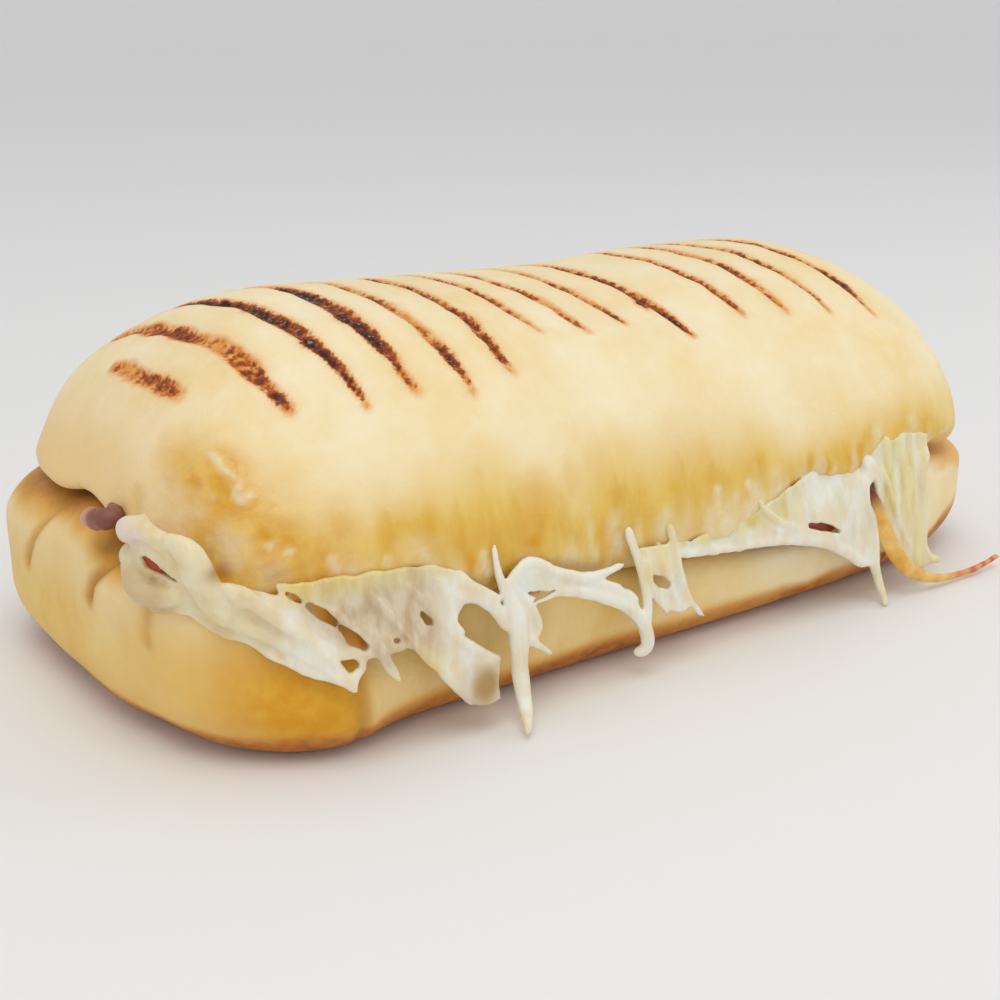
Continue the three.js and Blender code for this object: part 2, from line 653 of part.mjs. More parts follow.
function meltedCheese(halves) {
  const overHam = HAM_THICKNESS + FIT_GAP;
  const low = (x, y) => bottomCutHeight(x, y) + FIT_GAP + overHam * ramp(0.9, 0.85, cutPlace(x, y).reach);
  const high = (x, y) => topCutHeight(x, y) - FIT_GAP;
  const slab = layer(CHEESE_REACH, low, high);
  const curtains = CHEESE_CURTAINS.map((spec) => curtain(spec));
  const strands = CHEESE_STRANDS.map((points) => strand(points));
  const around = wasm.Manifold.union([halves, hamEdges(HAM_FLAP_ROOM), hamStrip(FIT_GAP)]);
  return wasm.Manifold.union([slab, cheeseBead(), ...curtains, ...strands]).subtract(around);
}

// Creases where the crust of the left end has folded
const CREASES = [
  [[-99.5, -26, 36, 1.6], [-102, -22.5, 32, 1.5], [-102.8, -17.5, 27, 1.2], [-102.8, -12, 19.5, 0.5]],
  [[-101.5, 3, 38.5, 1.3], [-102.9, 8, 34, 1.1], [-102.8, 14, 26, 0.5]],
  [[-101.2, -30.6, 29, 0.7], [-101.6, -31.2, 25, 0.9], [-101.4, -30.6, 20, 0.5]],
];

function largestPiece(solid) {
  const pieces = solid.decompose();
  return pieces.reduce((best, piece) => (piece.volume() > best.volume() ? piece : best));
}

function meshOf(name, solid, colour, roughness) {
  const { vertProperties, triVerts } = largestPiece(solid).getMesh();
  const geometry = new THREE.BufferGeometry();
  geometry.setAttribute('position', new THREE.BufferAttribute(new Float32Array(vertProperties), 3));
  geometry.setIndex(new THREE.BufferAttribute(new Uint32Array(triVerts), 1));
  const material = new THREE.MeshStandardMaterial({ color: colour, roughness, metalness: 0 });
  const mesh = new THREE.Mesh(geometry, material);
  mesh.name = name;
  return mesh;
}

const scored = topHalf(0).subtract(wasm.Manifold.union(MARKS.map((mark) => grillMark(mark))));
const folds = CREASES.map((points) => strand(points, { sides: FOLD_SIDES }));
const creased = bottomHalf(0).subtract(wasm.Manifold.union(folds));
const grownHalves = wasm.Manifold.union([topHalf(FIT_GAP), bottomHalf(FIT_GAP)]);
const strip = hamStrip(0).subtract(grownHalves);
const ham = hamSlice().subtract(grownHalves).subtract(hamStrip(FIT_GAP));
const cheese = meltedCheese(grownHalves);

const panini = new THREE.Group();
panini.add(
  meshOf('bread_bottom', creased, 0xd9b579, 0.75),
  meshOf('ham', ham, 0xb5685a, 0.45),
  meshOf('cheese', cheese, 0xf0ead2, 0.4),
  meshOf('bread_top', scored, 0xf0d9a8, 0.65),
  meshOf('ham_strip', strip, 0xc8793a, 0.45)
);

export default panini;
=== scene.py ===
# A pressed panini: a pale oblong roll with grill marks, cut through, with ham and cheese that has run out.
import itertools
import math

import bmesh
import bpy
import numpy as np
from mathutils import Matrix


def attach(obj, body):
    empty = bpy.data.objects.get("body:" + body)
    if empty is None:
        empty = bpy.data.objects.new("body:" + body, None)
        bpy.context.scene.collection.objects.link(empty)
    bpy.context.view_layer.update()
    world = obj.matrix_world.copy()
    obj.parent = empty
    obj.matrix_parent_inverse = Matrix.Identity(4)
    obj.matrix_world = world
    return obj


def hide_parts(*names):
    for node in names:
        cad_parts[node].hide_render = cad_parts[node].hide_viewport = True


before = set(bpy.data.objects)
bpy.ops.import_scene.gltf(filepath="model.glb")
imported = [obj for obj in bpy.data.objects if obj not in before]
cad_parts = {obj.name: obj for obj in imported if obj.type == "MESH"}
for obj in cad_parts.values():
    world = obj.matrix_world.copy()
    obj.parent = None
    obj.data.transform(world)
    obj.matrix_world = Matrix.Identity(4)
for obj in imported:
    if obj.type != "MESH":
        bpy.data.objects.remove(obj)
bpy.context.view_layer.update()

import openvdb as vdb
from mathutils import Vector

# Shapes are worked out in millimetres and made in metres
MM = 0.001

# Driving dimensions of the roll, its two halves and the cut between them
LENGTH = 204.0
WIDTH = 101.6
HEIGHT = 68.2
BOTTOM = {"length": LENGTH / 2, "width": WIDTH / 2, "square": 5.2}
BOTTOM_FULL_HEIGHT = 14.0
BOTTOM_END_UNDERCUT = 11.5
BOTTOM_SIDE_UNDERCUT = 5.6
BOTTOM_FRONT_TUCK = 4.6
BOTTOM_LEFT_TUCK = 2.4
BOTTOM_LEFT_DRAWN_IN = 1.6
BOTTOM_FRONT_RIM = 3.5
BOTTOM_LEFT_RIM = 8.0
TOP_CENTRE = (-1.85, -2.7)
TOP_HALF_LENGTH = 98.7
TOP_HALF_WIDTH = 51.3
TOP_WIDEST = 26.8
TOP_END_DROP = 40.5
TOP_END_POWER = 2.03
TOP_SIDE_POWER = 2.29
TOP_LOW_SQUARE = 4.6
TOP_CROWN_SQUARE = 3.6
TOP_FRONT_LIP = 5.0
TOP_END_LIP = 3.2
CROWN_SAG = 1.7
CROWN_RISE = 0.9
CUT = {"x": -0.9, "y": -1.3, "length": 97.0, "width": 49.0, "square": 4.6}
FILLING_HEIGHT = 8.0
CLOSED_GAP = 1.5
FIT_GAP = 0.35
HAM_THICKNESS = 2.2
HAM_REACH = 0.84
CHEESE_REACH = 0.9

# Mesh density
COLUMNS = 640
DOME_STEPS = 128
WALL_STEPS = 52
ROUND_STEPS = 12
CUT_REACHES = (0.12, 0.3, 0.45, 0.6, 0.72, 0.8, 0.86, 0.9, 0.93)
SOLE_REACHES = (0.1, 0.4, 0.7, 0.88, 0.96)
CHEESE_VOXEL = 0.33

# Grill marks: where each crosses MARK_CROSSING_Y, its front and back ends, its slant, half width, darkness
# and blotching
MARKS = (
    (-86.2, -23, 7, -0.02, 1, 0.45, 1),
    (-75.6, -38, 37, -0.12, 1.15, 0.52, 1),
    (-64.7, -42, 37, -0.17, 1.05, 0.86, 0.8),
    (-54, -42, 36, -0.1, 1.2, 0.84, 0.8),
    (-43.3, -44, 38, -0.07, 0.85, 0.74, 0.5),
    (-32.5, -42, 37, -0.03, 0.85, 0.88, 0.4),
    (-21, -34, 35, -0.1, 0.6, 0.6, 0.2),
    (-11.5, -36, 36, -0.11, 0.75, 0.66, 0.2),
    (-1.2, -35, 37, -0.07, 0.65, 0.62, 0.2),
    (10.1, -41, 36, -0.09, 0.85, 0.82, 0.3),
    (27.5, -38, 35, 0, 0.7, 0.62, 0.2),
    (38.6, -39, 36, 0, 0.75, 0.5, 0.2),
    (49.3, -40, 34, -0.09, 0.8, 0.78, 0.3),
    (61.2, -40, 32, -0.2, 0.8, 0.76, 0.3),
)
MARK_CROSSING_Y = -20.0
MARK_DEPTH = 0.75
MARK_REACH = 8.0

# Burnt beads on the marks: x, y and radius
CHAR_BEADS = (
    (-68, -2, 1.5), (-66.5, -10, 1.4), (-57, 4, 1.5), (-33, -7, 1.6), (8.8, -7, 1), (49, -13, 1.2),
    (59.5, -14, 1.4), (8.5, -27, 1.1), (-54.5, -21, 1.5), (-64, -25, 1.4),
)


def mix(a, b, t):
    return a + (b - a) * t


def ramp(low, high, value):
    """Smooth step from 0 at low to 1 at high."""
    t = np.clip((value - low) / (high - low), 0, 1)
    return t * t * (3 - 2 * t)


def band(start, full, last, end, value):
    """Rises smoothly from start to full and falls again from last to end."""
    return ramp(start, full, value) * ramp(end, last, value)


def hill(middle, reach, value):
    """Bell curve of height 1."""
    return np.exp(-(((value - middle) / reach) ** 2))


def lattice(cells, seed):
    """A number from 0 to 1 for each whole-numbered cell, by a common integer hash."""
    word = 0xFFFFFFFF
    x, y, z = np.moveaxis(cells, -1, 0)
    mixed = (x * 374761393 + y * 668265263 + z * 362437 + seed * 1274126177) & word
    mixed = ((mixed ^ (mixed >> 13)) * 1274126177) & word
    mixed = ((mixed ^ (mixed >> 15)) * 2246822519) & word
    return ((mixed ^ (mixed >> 16)) & 0xFFFF) / 0xFFFF


def noise(points, size, seed):
    """Smooth noise from -1 to 1, with lumps about size wide. Size may differ by axis."""
    scaled = points / np.asarray(size, float)
    cell = np.floor(scaled).astype(np.int64)
    share = scaled - cell
    share = share * share * share * (share * (share * 6 - 15) + 10)
    total = np.zeros(points.shape[:-1])
    for corner in np.array(list(itertools.product((0, 1), repeat=3))):
        weight = np.prod(np.where(corner == 1, share, 1 - share), axis=-1)
        total += weight * lattice(cell + corner, seed)
    return 2 * total - 1


def cloud(points, size, seed):
    """Noise with finer noise on it, from about -1 to 1."""
    return sum(noise(points, np.array(size) / 2**k, seed + 17 * k) / 2**k for k in range(3)) / 1.4


def from_segment(offsets, run):
    """How far along a segment each point lies, as a share of it, and how far off it. The offsets are from the
    segment's start, an array for each axis, and run is the segment's length along each axis."""
    along = sum(offset * length for offset, length in zip(offsets, run))
    share = np.clip(along / max(sum(length * length for length in run), 1e-6), 0, 1)
    return share, np.sqrt(sum((offset - share * length) ** 2 for offset, length in zip(offsets, run)))


def line_distance(points, line):
    """Distance from each point to a line through the given corners."""
    line = np.array(line, float)
    segments = zip(line, line[1:])
    return np.minimum.reduce([from_segment(np.moveaxis(points - a, -1, 0), b - a)[1] for a, b in segments])


# Plan outlines are superellipses. A place on one is given by its turn, from the right end counterclockwise.
def plan_point(turn, shape, inset=0.0):
    power = 2 / shape["square"]
    along = np.sign(np.cos(turn)) * np.abs(np.cos(turn)) ** power
    across = np.sign(np.sin(turn)) * np.abs(np.sin(turn)) ** power
    x = shape.get("x", 0) + (shape["length"] - inset) * along
    y = shape.get("y", 0) + (shape["width"] - inset) * across
    return x, y


def plan_reach(x, y, shape):
    """0 in the middle of an outline and 1 on it."""
    along = np.abs((x - shape["x"]) / shape["length"]) ** shape["square"]
    across = np.abs((y - shape["y"]) / shape["width"]) ** shape["square"]
    return (along + across) ** (1 / shape["square"])


def plan_outward(x, y, shape):
    """Plan direction straight out of an outline."""
    def slope(offset, half):
        half = np.maximum(half, 0.5)
        return np.sign(offset) * np.abs(offset / half) ** (shape["square"] - 1) / half

    out_x = slope(x - shape["x"], shape["length"])
    out_y = slope(y - shape["y"], shape["width"])
    size = np.maximum(np.hypot(out_x, out_y), 1e-9)
    return out_x / size, out_y / size


def walk(x, y):
    """Distance walked along a line to each of its points."""
    return np.concatenate([[0], np.cumsum(np.hypot(np.diff(x), np.diff(y)))])


def even_turns(count):
    """Turns spaced evenly along the cut's outline, the back half the mirror of the front half."""
    fine = np.linspace(0, math.pi, 4001)
    walked = walk(*plan_point(fine, CUT))
    half = np.interp(np.linspace(0, walked[-1], count // 2 + 1), walked, fine)
    return np.concatenate([half, 2 * math.pi - half[-2:0:-1]])


TURNS = even_turns(COLUMNS)


# Heights of the lip, the opening under it and the two faces of the cut
def lip_height(x, y):
    """The lip falls along the front, lifts over the right patch and at the left, and slants at the back."""
    front = 31 - 9.5 * ramp(-75, 29, x) + 8.5 * ramp(38, 56, x) - 6 * ramp(74, 90, x) + 6 * ramp(-84, -97, x)
    back = mix(36, 25, (x + 100) / 200)
    left_rise = (3.8 * ramp(12, -12, y) + 2 * hill(-31, 8, y)) * ramp(-70, -92, x)
    return mix(back, front, ramp(-30, -45, y)) + left_rise * ramp(-50, -44, y)


def rim_gap(x, y):
    """The opening is wide at the front, widest at its left, and nearly closed at the right and the back."""
    front_gap = 5 + 2.5 * ramp(-60, -90, x)
    at_front = (front_gap - CLOSED_GAP) * ramp(-2, -26, y) * (1 - ramp(74, 88, x))
    return CLOSED_GAP + at_front + 1.5 * ramp(10, 45, y)


def cut_place(x, y):
    """How far out on the cut a place is, and the place on its rim straight out from it."""
    reach = plan_reach(x, y, CUT)
    out = 1 / np.maximum(reach, 0.001)
    return reach, mix(CUT["x"], x, out), mix(CUT["y"], y, out)


def gap_height(x, y):
    reach, rim_x, rim_y = cut_place(x, y)
    return mix(FILLING_HEIGHT, rim_gap(rim_x, rim_y), ramp(0.5, 1, reach))


def bottom_cut_height(x, y):
    reach, rim_x, rim_y = cut_place(x, y)
    inside = 27 - 0.04 * x + 0.06 * y
    at_rim = lip_height(rim_x, rim_y) - rim_gap(rim_x, rim_y)
    return mix(inside, at_rim, ramp(0.3, 1, reach))


def top_cut_height(x, y):
    return bottom_cut_height(x, y) + gap_height(x, y)


# Melted cheese and flaps of ham are drawn on the bottom half's outline rolled out flat: how far along the
# front from its middle, how high, and how far out.
def outline_walk():
    """Along the outline's front half: the turn, the distance walked, the place, and the direction out."""
    turn = np.linspace(-math.pi, 0, 5761)
    x, y = plan_point(turn, BOTTOM)
    walked = walk(x, y)
    along_x, along_y = np.gradient(x), np.gradient(y)
    size = np.hypot(along_x, along_y)
    return turn, walked - walked[len(walked) // 2], x, y, along_y / size, -along_x / size


FRONT_TURN, FRONT_WALKED, *FRONT_PLACES = outline_walk()


def walked_to(x, y):
    """Where a place beside the outline's front half lies on the rolled-out front."""
    across = y / BOTTOM["width"]
    along = x / BOTTOM["length"]
    power = BOTTOM["square"] / 2
    turn = np.arctan2(np.sign(across) * np.abs(across) ** power, np.sign(along) * np.abs(along) ** power)
    return np.interp(turn, FRONT_TURN, FRONT_WALKED)


# How far the baked lip hangs below the cut, or has lifted off it, along the rolled-out front
LIP_DROOP = (
    (-139, 0), (-134, 0.8), (-128, 2), (-122, 2.8), (-116, 3.2), (-110, 4), (-105, 5.4), (-101, 6.6),
    (-96, 8.2), (-91, 7.4), (-86, 6), (-77, 3.6), (-67, 1.6), (-57, 1.8), (-51, 5), (-47, 6), (-43, 5.4),
    (-39, 4.4), (-35, 3.6), (-31, 4), (-27, 4.9), (-21, 5.4), (-17, 5.3), (-11, 4.5), (-5, 3.6), (3, 2.6),
    (9, 2.2), (15, 1.4), (21, -0.9), (25, -4), (29, -6.7), (32, -7.8), (37, -6.3), (43, -3.6),
    (49.5, -1.8), (53, 0.4), (59, 1.6), (69, 1.6), (76, 0.8), (84, 0),
)


def lip_droop(x, y):
    at, fall = zip(*LIP_DROOP)
    return np.interp(walked_to(x, y), at, fall) * (y < 0)


def corner_shift(x, y, z):
    """The front left corner of the bottom half bulges forward, and the end beside it is drawn in."""
    low = ramp(32, 10, z)
    forward = 5.2 * hill(-76, 13, x) * ramp(-28, -44, y) * low
    inward = 2.4 * hill(-29, 11, y) * ramp(-84, -96, x) * low
    return inward, -forward


def crown_sag(x, z):
    """The crown dips in its middle and rises towards its left."""
    return (CROWN_SAG * hill(6, 28, x) - CROWN_RISE * hill(-56, 14, x)) * ramp(54, 67, z)


# Rings of points
def cut_ring(reach, height_at):
    rim_x, rim_y = plan_point(TURNS, CUT)
    x = mix(CUT["x"], rim_x, reach)
    y = mix(CUT["y"], rim_y, reach)
    return np.stack([x, y, height_at(x, y)], -1)


def quarter_round(steps):
    """How far in and how far up, as shares of the radius."""
    turn = np.linspace(0, math.pi / 2, steps + 1)
    return list(zip(1 - np.sin(turn), 1 - np.cos(turn)))


def steps_up(count):
    """Shares of the way up, without the start."""
    return (np.arange(count) + 1) / count


def dome_shape(z):
    rise = np.clip((z - TOP_WIDEST) / (HEIGHT - TOP_WIDEST), 0, 1)
    end_share = (1 - rise**TOP_END_POWER) ** (1 / TOP_END_POWER)
    side_share = (1 - rise**TOP_SIDE_POWER) ** (1 / TOP_SIDE_POWER)
    return {
        "x": TOP_CENTRE[0],
        "y": TOP_CENTRE[1],
        "length": TOP_HALF_LENGTH - TOP_END_DROP * (1 - end_share),
        "width": TOP_HALF_WIDTH * side_share,
        "square": mix(TOP_LOW_SQUARE, TOP_CROWN_SQUARE, rise),
    }


def dome_bulge(x, y, z):
    """Soft swellings of the side, and how the two ends swell and draw in."""
    swell = 0.45 * np.sin(x / 9.5 + 0.7) + 0.3 * np.sin(x / 5.6 + 2.1 + y / 30) + 0.3 * np.sin(y / 8 + x / 23)
    left = 0.5 * hill(46, 8, z) * ramp(-70, -95, x)
    right = 0.6 * hill(33, 9, z) * ramp(60, 88, x)
    drawn_in = 1.9 * hill(44, 12, z) * ramp(-84, -98, x)
    return swell * ramp(66, 48, z) + left + right - drawn_in


def dome_point(z, inset):
    shape = dome_shape(z)
    x, y = plan_point(TURNS, shape, inset)
    out_x, out_y = plan_outward(x, y, shape)
    bulge = dome_bulge(x, y, z)
    return np.stack([x + bulge * out_x, y + bulge * out_y, z - crown_sag(x, z)], -1)


# The climb is the angle up the dome's side, so that even steps of it stay even near the crown
def climb_of_height(z):
    rise = (z - TOP_WIDEST) / (HEIGHT - TOP_WIDEST)
    above = np.arcsin(np.clip(rise, 0, 1) ** (TOP_SIDE_POWER / 2))
    return np.where(rise < 0, (z - TOP_WIDEST) / TOP_HALF_WIDTH, above)


def height_of_climb(climb):
    above = mix(TOP_WIDEST, HEIGHT, np.sin(np.maximum(climb, 0)) ** (2 / TOP_SIDE_POWER))
    return np.where(climb < 0, TOP_WIDEST + climb * TOP_HALF_WIDTH, above)


def underside_height(x, y):
    reach = plan_reach(x, y, CUT)
    return top_cut_height(x, y) - lip_droop(x, y) * ramp(0.78, 0.95, reach)


def top_rings():
    """Rings from the middle of the cut, round the lip and up to the ridge of the crown."""
    widest = dome_shape(np.full(COLUMNS, TOP_WIDEST))
    radius = mix(TOP_FRONT_LIP, TOP_END_LIP, ramp(80, 96, np.abs(plan_point(TURNS, widest)[0])))
    inset_x, inset_y = plan_point(TURNS, widest, radius)
    lip = top_cut_height(inset_x, inset_y) - lip_droop(inset_x, inset_y)
    cut = [cut_ring(reach, underside_height) for reach in CUT_REACHES]
    edge = [dome_point(lip + radius * rise, radius * inset) for inset, rise in quarter_round(ROUND_STEPS)]
    start = climb_of_height(lip + radius)
    dome = [dome_point(height_of_climb(mix(start, math.pi / 2, share)), 0) for share in steps_up(DOME_STEPS)]
    return np.array(cut + edge + dome)


def bottom_outline(under, inset, z):
    shape = {
        "length": BOTTOM["length"] - BOTTOM_END_UNDERCUT * under,
        "width": BOTTOM["width"] - BOTTOM_SIDE_UNDERCUT * under,
        "square": BOTTOM["square"],
    }
    x, y = plan_point(TURNS, shape, inset)
    z = z + np.zeros(COLUMNS)
    shift_x, shift_y = corner_shift(x, y, z)
    left_tuck = BOTTOM_LEFT_TUCK * under * ramp(-80, -98, x)
    front_tuck = BOTTOM_FRONT_TUCK * under * ramp(-24, -44, y)
    drawn_in = BOTTOM_LEFT_DRAWN_IN * ramp(24, 36, z) * ramp(-88, -100, x) * ramp(-12, 6, y)
    return np.stack([x + shift_x + left_tuck + drawn_in, y + shift_y + front_tuck, z], -1)


def bottom_rings():
    """Rings from the middle of the base, up the side, over the rim and to the middle of the cut."""
    radius = mix(BOTTOM_FRONT_RIM, BOTTOM_LEFT_RIM, ramp(-82, -99, plan_point(TURNS, BOTTOM)[0]))
    top = bottom_cut_height(*plan_point(TURNS, BOTTOM, radius))
    full = np.minimum(BOTTOM_FULL_HEIGHT, top - radius - 1)
    sole = bottom_outline(1, 0, 0)
    base = [sole * np.array([share, share, 0]) for share in SOLE_REACHES]
    edge = [bottom_outline(inset, 0, full * rise) for inset, rise in quarter_round(2 * ROUND_STEPS)]
    wall = [bottom_outline(0, 0, mix(full, top - radius, share)) for share in steps_up(WALL_STEPS)]
    rounding = quarter_round(ROUND_STEPS)[1:]
    rim = [bottom_outline(0, radius * rise, top - radius * inset) for inset, rise in rounding]
    cut = [cut_ring(reach, bottom_cut_height) for reach in CUT_REACHES[-2::-1]]
    return np.array(base + edge + wall + rim + cut)


def pushed_out(rings, relief):
    """Rings with each point moved out along its normal."""
    normal = np.cross(np.roll(rings, -1, 1) - np.roll(rings, 1, 1), np.gradient(rings, axis=0))
    normal /= np.maximum(np.linalg.norm(normal, axis=-1, keepdims=True), 1e-9)
    return rings + normal * relief[..., None]


# Making pieces
def new_piece(name, points, faces, material, node, masks):
    """A smooth mesh piece that stands for a node. Each painting mask is a value, or one for each point."""
    mesh = bpy.data.meshes.new(name)
    mesh.from_pydata((points * MM).tolist(), [], faces)
    mesh.validate()
    mesh.shade_smooth()
    for mask, values in masks.items():
        values = (np.zeros(len(points)) + values).astype(np.float32)
        mesh.attributes.new(mask, "FLOAT", "POINT").data.foreach_set("value", values)
    mesh.materials.append(material)
    piece = bpy.data.objects.new(name, mesh)
    bpy.context.collection.objects.link(piece)
    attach(piece, "root")
    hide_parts(node)
    return piece


def tube_faces(grid):
    """Faces between the rows of a grid of point numbers. Each row closes on itself."""
    after = np.roll(grid, -1, 1)
    return np.stack([grid[:-1], after[:-1], after[1:], grid[1:]], -1).reshape(-1, 4).tolist()


def ring_faces(ring_count, first, last=None):
    """Faces of stacked rings. The first ring closes on a point numbered first, and the last one on a point
    numbered last or, without one, front to back on itself."""
    grid = np.arange(ring_count * COLUMNS).reshape(ring_count, COLUMNS)
    if last is None:
        columns = np.arange(COLUMNS)
        grid[-1] = grid[-1, 0] + np.minimum(columns, COLUMNS - columns)
    faces = tube_faces(grid)
    faces += [[first, int(b), int(a)] for a, b in zip(grid[0], np.roll(grid[0], -1))]
    if last is not None:
        faces += [[last, int(a), int(b)] for a, b in zip(grid[-1], np.roll(grid[-1], -1))]
    return faces


# Relief and painting masks of the crust
def grill_masks(points):
    """How charred and how toasted each point of the crust is, and how deep the grill has pressed it."""
    x, y, z = np.moveaxis(points, -1, 0)
    char, toast, press = np.zeros((3,) + x.shape)
    for number, (middle, front, back, slant, half_width, dark, blotch) in enumerate(MARKS):
        wander = 0.7 * noise(points, (40, 9, 40), 300 + number)
        wander += 0.3 * noise(points, (30, 3, 30), 320 + number)
        across = np.abs(x - middle - slant * (y - MARK_CROSSING_Y) - wander)
        near = across < MARK_REACH
        spots, off = points[near], across[near]
        taper = band(front, front + 12, back - 9, back, y[near])
        half = half_width * (0.35 + 0.65 * taper) * (1 + 0.5 * noise(spots, (60, 5, 60), 340 + number))
        patchy = 0.7 + 0.4 * noise(spots, (60, 7, 60), 380 + number)
        patchy -= 0.25 * blotch * noise(spots, 3, 400 + number)
        core = ramp(half + 0.9, half - 0.7, off) * ramp(0.0, 0.35, taper)
        glow = 0.85 * ramp(half + 1.1, half - 0.3, off) + 0.15 * ramp(half + 4.5, half, off)
        pressed = ramp(half + 1.1, half - 0.6, off) * taper**0.6
        char[near] = np.maximum(char[near], core * dark * patchy)
        toast[near] = np.maximum(toast[near], glow * ramp(0.0, 0.12, taper))
        press[near] = np.maximum(press[near], pressed)
    for bead_x, bead_y, radius in CHAR_BEADS:
        far = np.hypot(x - bead_x, (y - bead_y) * 0.6) + 0.5 * noise(points, 1.6, 7)
        char = np.maximum(char, ramp(radius, radius * 0.4, far))
        toast = np.maximum(toast, ramp(radius + 1.2, radius * 0.5, far))
    above = ramp(34, 42, z)
    return char * above, toast * above, press * above


# Where the crust of the front left corner is wet with butter
OILY_LINES = (
    ((-89, -31, 51), (-88, -38, 46), (-84.6, -45, 39), (-76, -50, 35)),
    ((-90, -33, 48), (-88, -38, 46)),
)

# Butter-brown spots: place, radius and strength
AMBER_SPOTS = (
    (-90.4, -33.6, 47.2, 2.2, 1), (-87.4, -36.8, 47.4, 2.2, 0.9), (-88, -39.4, 44.6, 3, 0.9),
    (-87, -41.8, 42.2, 2.2, 0.9), (-84.4, -45, 38.8, 3.4, 1), (-83.9, -46.3, 36.6, 2.6, 1),
    (-78, -48.6, 37.4, 3.4, 0.5), (-90.6, -30.6, 50.6, 2, 0.5), (-92.1, -38.9, 39.5, 1.5, 0.8),
    (-90.6, -42.9, 34.3, 1.6, 1), (-93.1, -36.1, 41.6, 1.4, 0.6), (-36, -53, 37.5, 5, 0.45),
    (-47, -52, 45, 1.4, 0.4), (-28, -53, 41, 3, 0.25), (-51.5, -54, 30.6, 1.8, 0.8),
    (-37.6, -54, 31.4, 1.8, 1), (-38.3, -54, 28, 1.4, 0.7), (-21.5, -54, 31, 1.4, 0.6),
    (30.6, -54, 33.4, 1.5, 0.6), (34.4, -54, 32.4, 1.7, 0.7), (41.4, -54, 32.6, 1.5, 0.4),
    (44.8, -54, 33.8, 1.5, 0.7),
)
AMBER_STRETCH = (1.1, 0.6, 0.9)

# Painted shadow: dark olive spots on the crust under the lip, where the corner mass shades it
SHADOW_SPOTS = ((-90.5, -42.8, 35.2, 1.7, 0.6), (-91.5, -40.6, 37.4, 1.1, 0.45))
SHADOW_STRETCH = (1, 1, 0.8)

# Melted cheese smeared thinly up the crust, and painted highlights on the wet front left corner: half width,
# strength and the places of a line
SMEARS_AND_HIGHLIGHTS = (
    (0.5, 0.7, (-93.6, -29.3, 46.5), (-95, -28.6, 44.4), (-96.1, -28, 42.6), (-97, -27.5, 41)),
    # Painted highlights on the wet front left corner: a short stroke, a squiggle and three dots
    (0.5, 1, (-86.9, -34, 51), (-86.5, -35, 50.3)),
    (0.35, 1, (-86.7, -35.9, 49.6), (-85.6, -37.8, 48.8), (-84.9, -39.8, 47.4), (-86, -40, 45.8),
     (-85.6, -41, 44.8), (-84.2, -41.4, 45.8)),
    (0.5, 1, (-83.6, -45.8, 38.2), (-83.4, -45.8, 38.2)),
    (0.6, 1, (-81, -47.2, 37.1), (-80.8, -47.3, 37.1)),
    (0.4, 0.8, (-89.3, -37.8, 45.2), (-89.1, -37.8, 45.2)),
    # Smears of cheese down the front above the lip
    (0.7, 0.8, (-48.2, -54, 31.6), (-47.4, -54, 28)),
    (0.7, 0.6, (-65.8, -52, 34), (-65.6, -52, 31)),
    (0.6, 0.6, (-74.8, -50, 35.4), (-73.4, -50.4, 31)),
    (0.9, 0.6, (-59.6, -52.6, 34.4), (-58.2, -53, 29)),
    (0.5, 0.7, (-25.6, -54, 35), (-24.2, -54, 25)),
    (1, 0.8, (4.2, -54, 33), (5.2, -54, 24)),
    (0.6, 0.7, (12, -54, 33), (15.4, -54, 26)),
)

# How much each axis counts in the distance to a smear
SMEAR_AXES = (1, 0.6, 1)

# Where a thin skin of cheese lies over the crust: place, radius and strength
FILMS = (
    (-94.5, -31.5, 44, 5, 0.5), (-88.6, -42.6, 38.6, 3.4, 0.55), (-84, -47, 33, 3.5, 0.5),
    (-60, -53, 30.5, 5, 0.5), (-72, -50.6, 31.5, 4, 0.4), (-4, -54, 25.5, 5, 0.6), (6, -54, 25, 6, 0.75),
    (15, -54, 27, 5, 0.75), (21, -54, 29.5, 4, 0.6), (-19.4, -53.8, 31.5, 2.2, 0.7),
    (-17.8, -54, 27, 3, 0.75), (-8.2, -54, 28.6, 2.6, 0.65), (50.6, -53.2, 35.6, 2.4, 0.7),
    (61.8, -52.2, 35.8, 2.2, 0.6), (51, -53, 31, 4.5, 0.6), (60, -52.4, 30, 4.5, 0.6),
)
FILM_STRETCH = (1, 0.6, 0.8)

# Folds: how much each axis counts, half width, depth and the places of a line. Those of the bottom half are
# lines seen straight on, so one axis hardly counts. Their grooves are darkened with painted shade.
TOP_FOLDS = (((1, 1, 1), 0.7, 0.8, (-96.4, -23.4, 43.8), (-96.7, -24.9, 42.6), (-97.2, -26, 41.1)),)
CREASES = (
    ((0.1, 1, 1), 0.6, 0.9, (-102, -28, 37.4), (-102, -24.6, 35), (-102, -20.4, 31), (-102, -17, 27.2),
     (-102, -14.6, 23.6)),
    ((0.1, 1, 1), 0.6, 0.6, (-102, 4, 37), (-102, 9, 31), (-102, 16, 21)),
    ((0.1, 1, 1), 0.6, 0.4, (-102, -33.8, 28.5), (-102, -33, 25), (-102, -31.8, 21)),
    ((1, 0.1, 1), 1.2, 0.7, (-73, -52, 15), (-72, -52, 9), (-71, -52, 3)),
)

# Places on the bottom half: the middle of its toasted front left corner, and a dark spot at the base that is
# partly burnt crust and partly painted shade under the bread
TOASTED_CORNER = (-79, -50, 12)
BURNT_AND_SHADED_SPOT = (60.8, -49.4, 5.4)


def spot_mask(points, spots, stretch):
    """The strongest of soft spots. A stretch under 1 makes them longer along that axis."""
    best = np.zeros(points.shape[:-1])
    ragged = 0.25 * noise(points, 2.4, 14)
    for *middle, radius, strength in spots:
        far = np.linalg.norm((points - np.array(middle)) * stretch, axis=-1) + radius * ragged
        best = np.maximum(best, strength * ramp(1.5 * radius, 0.2 * radius, far))
    return best


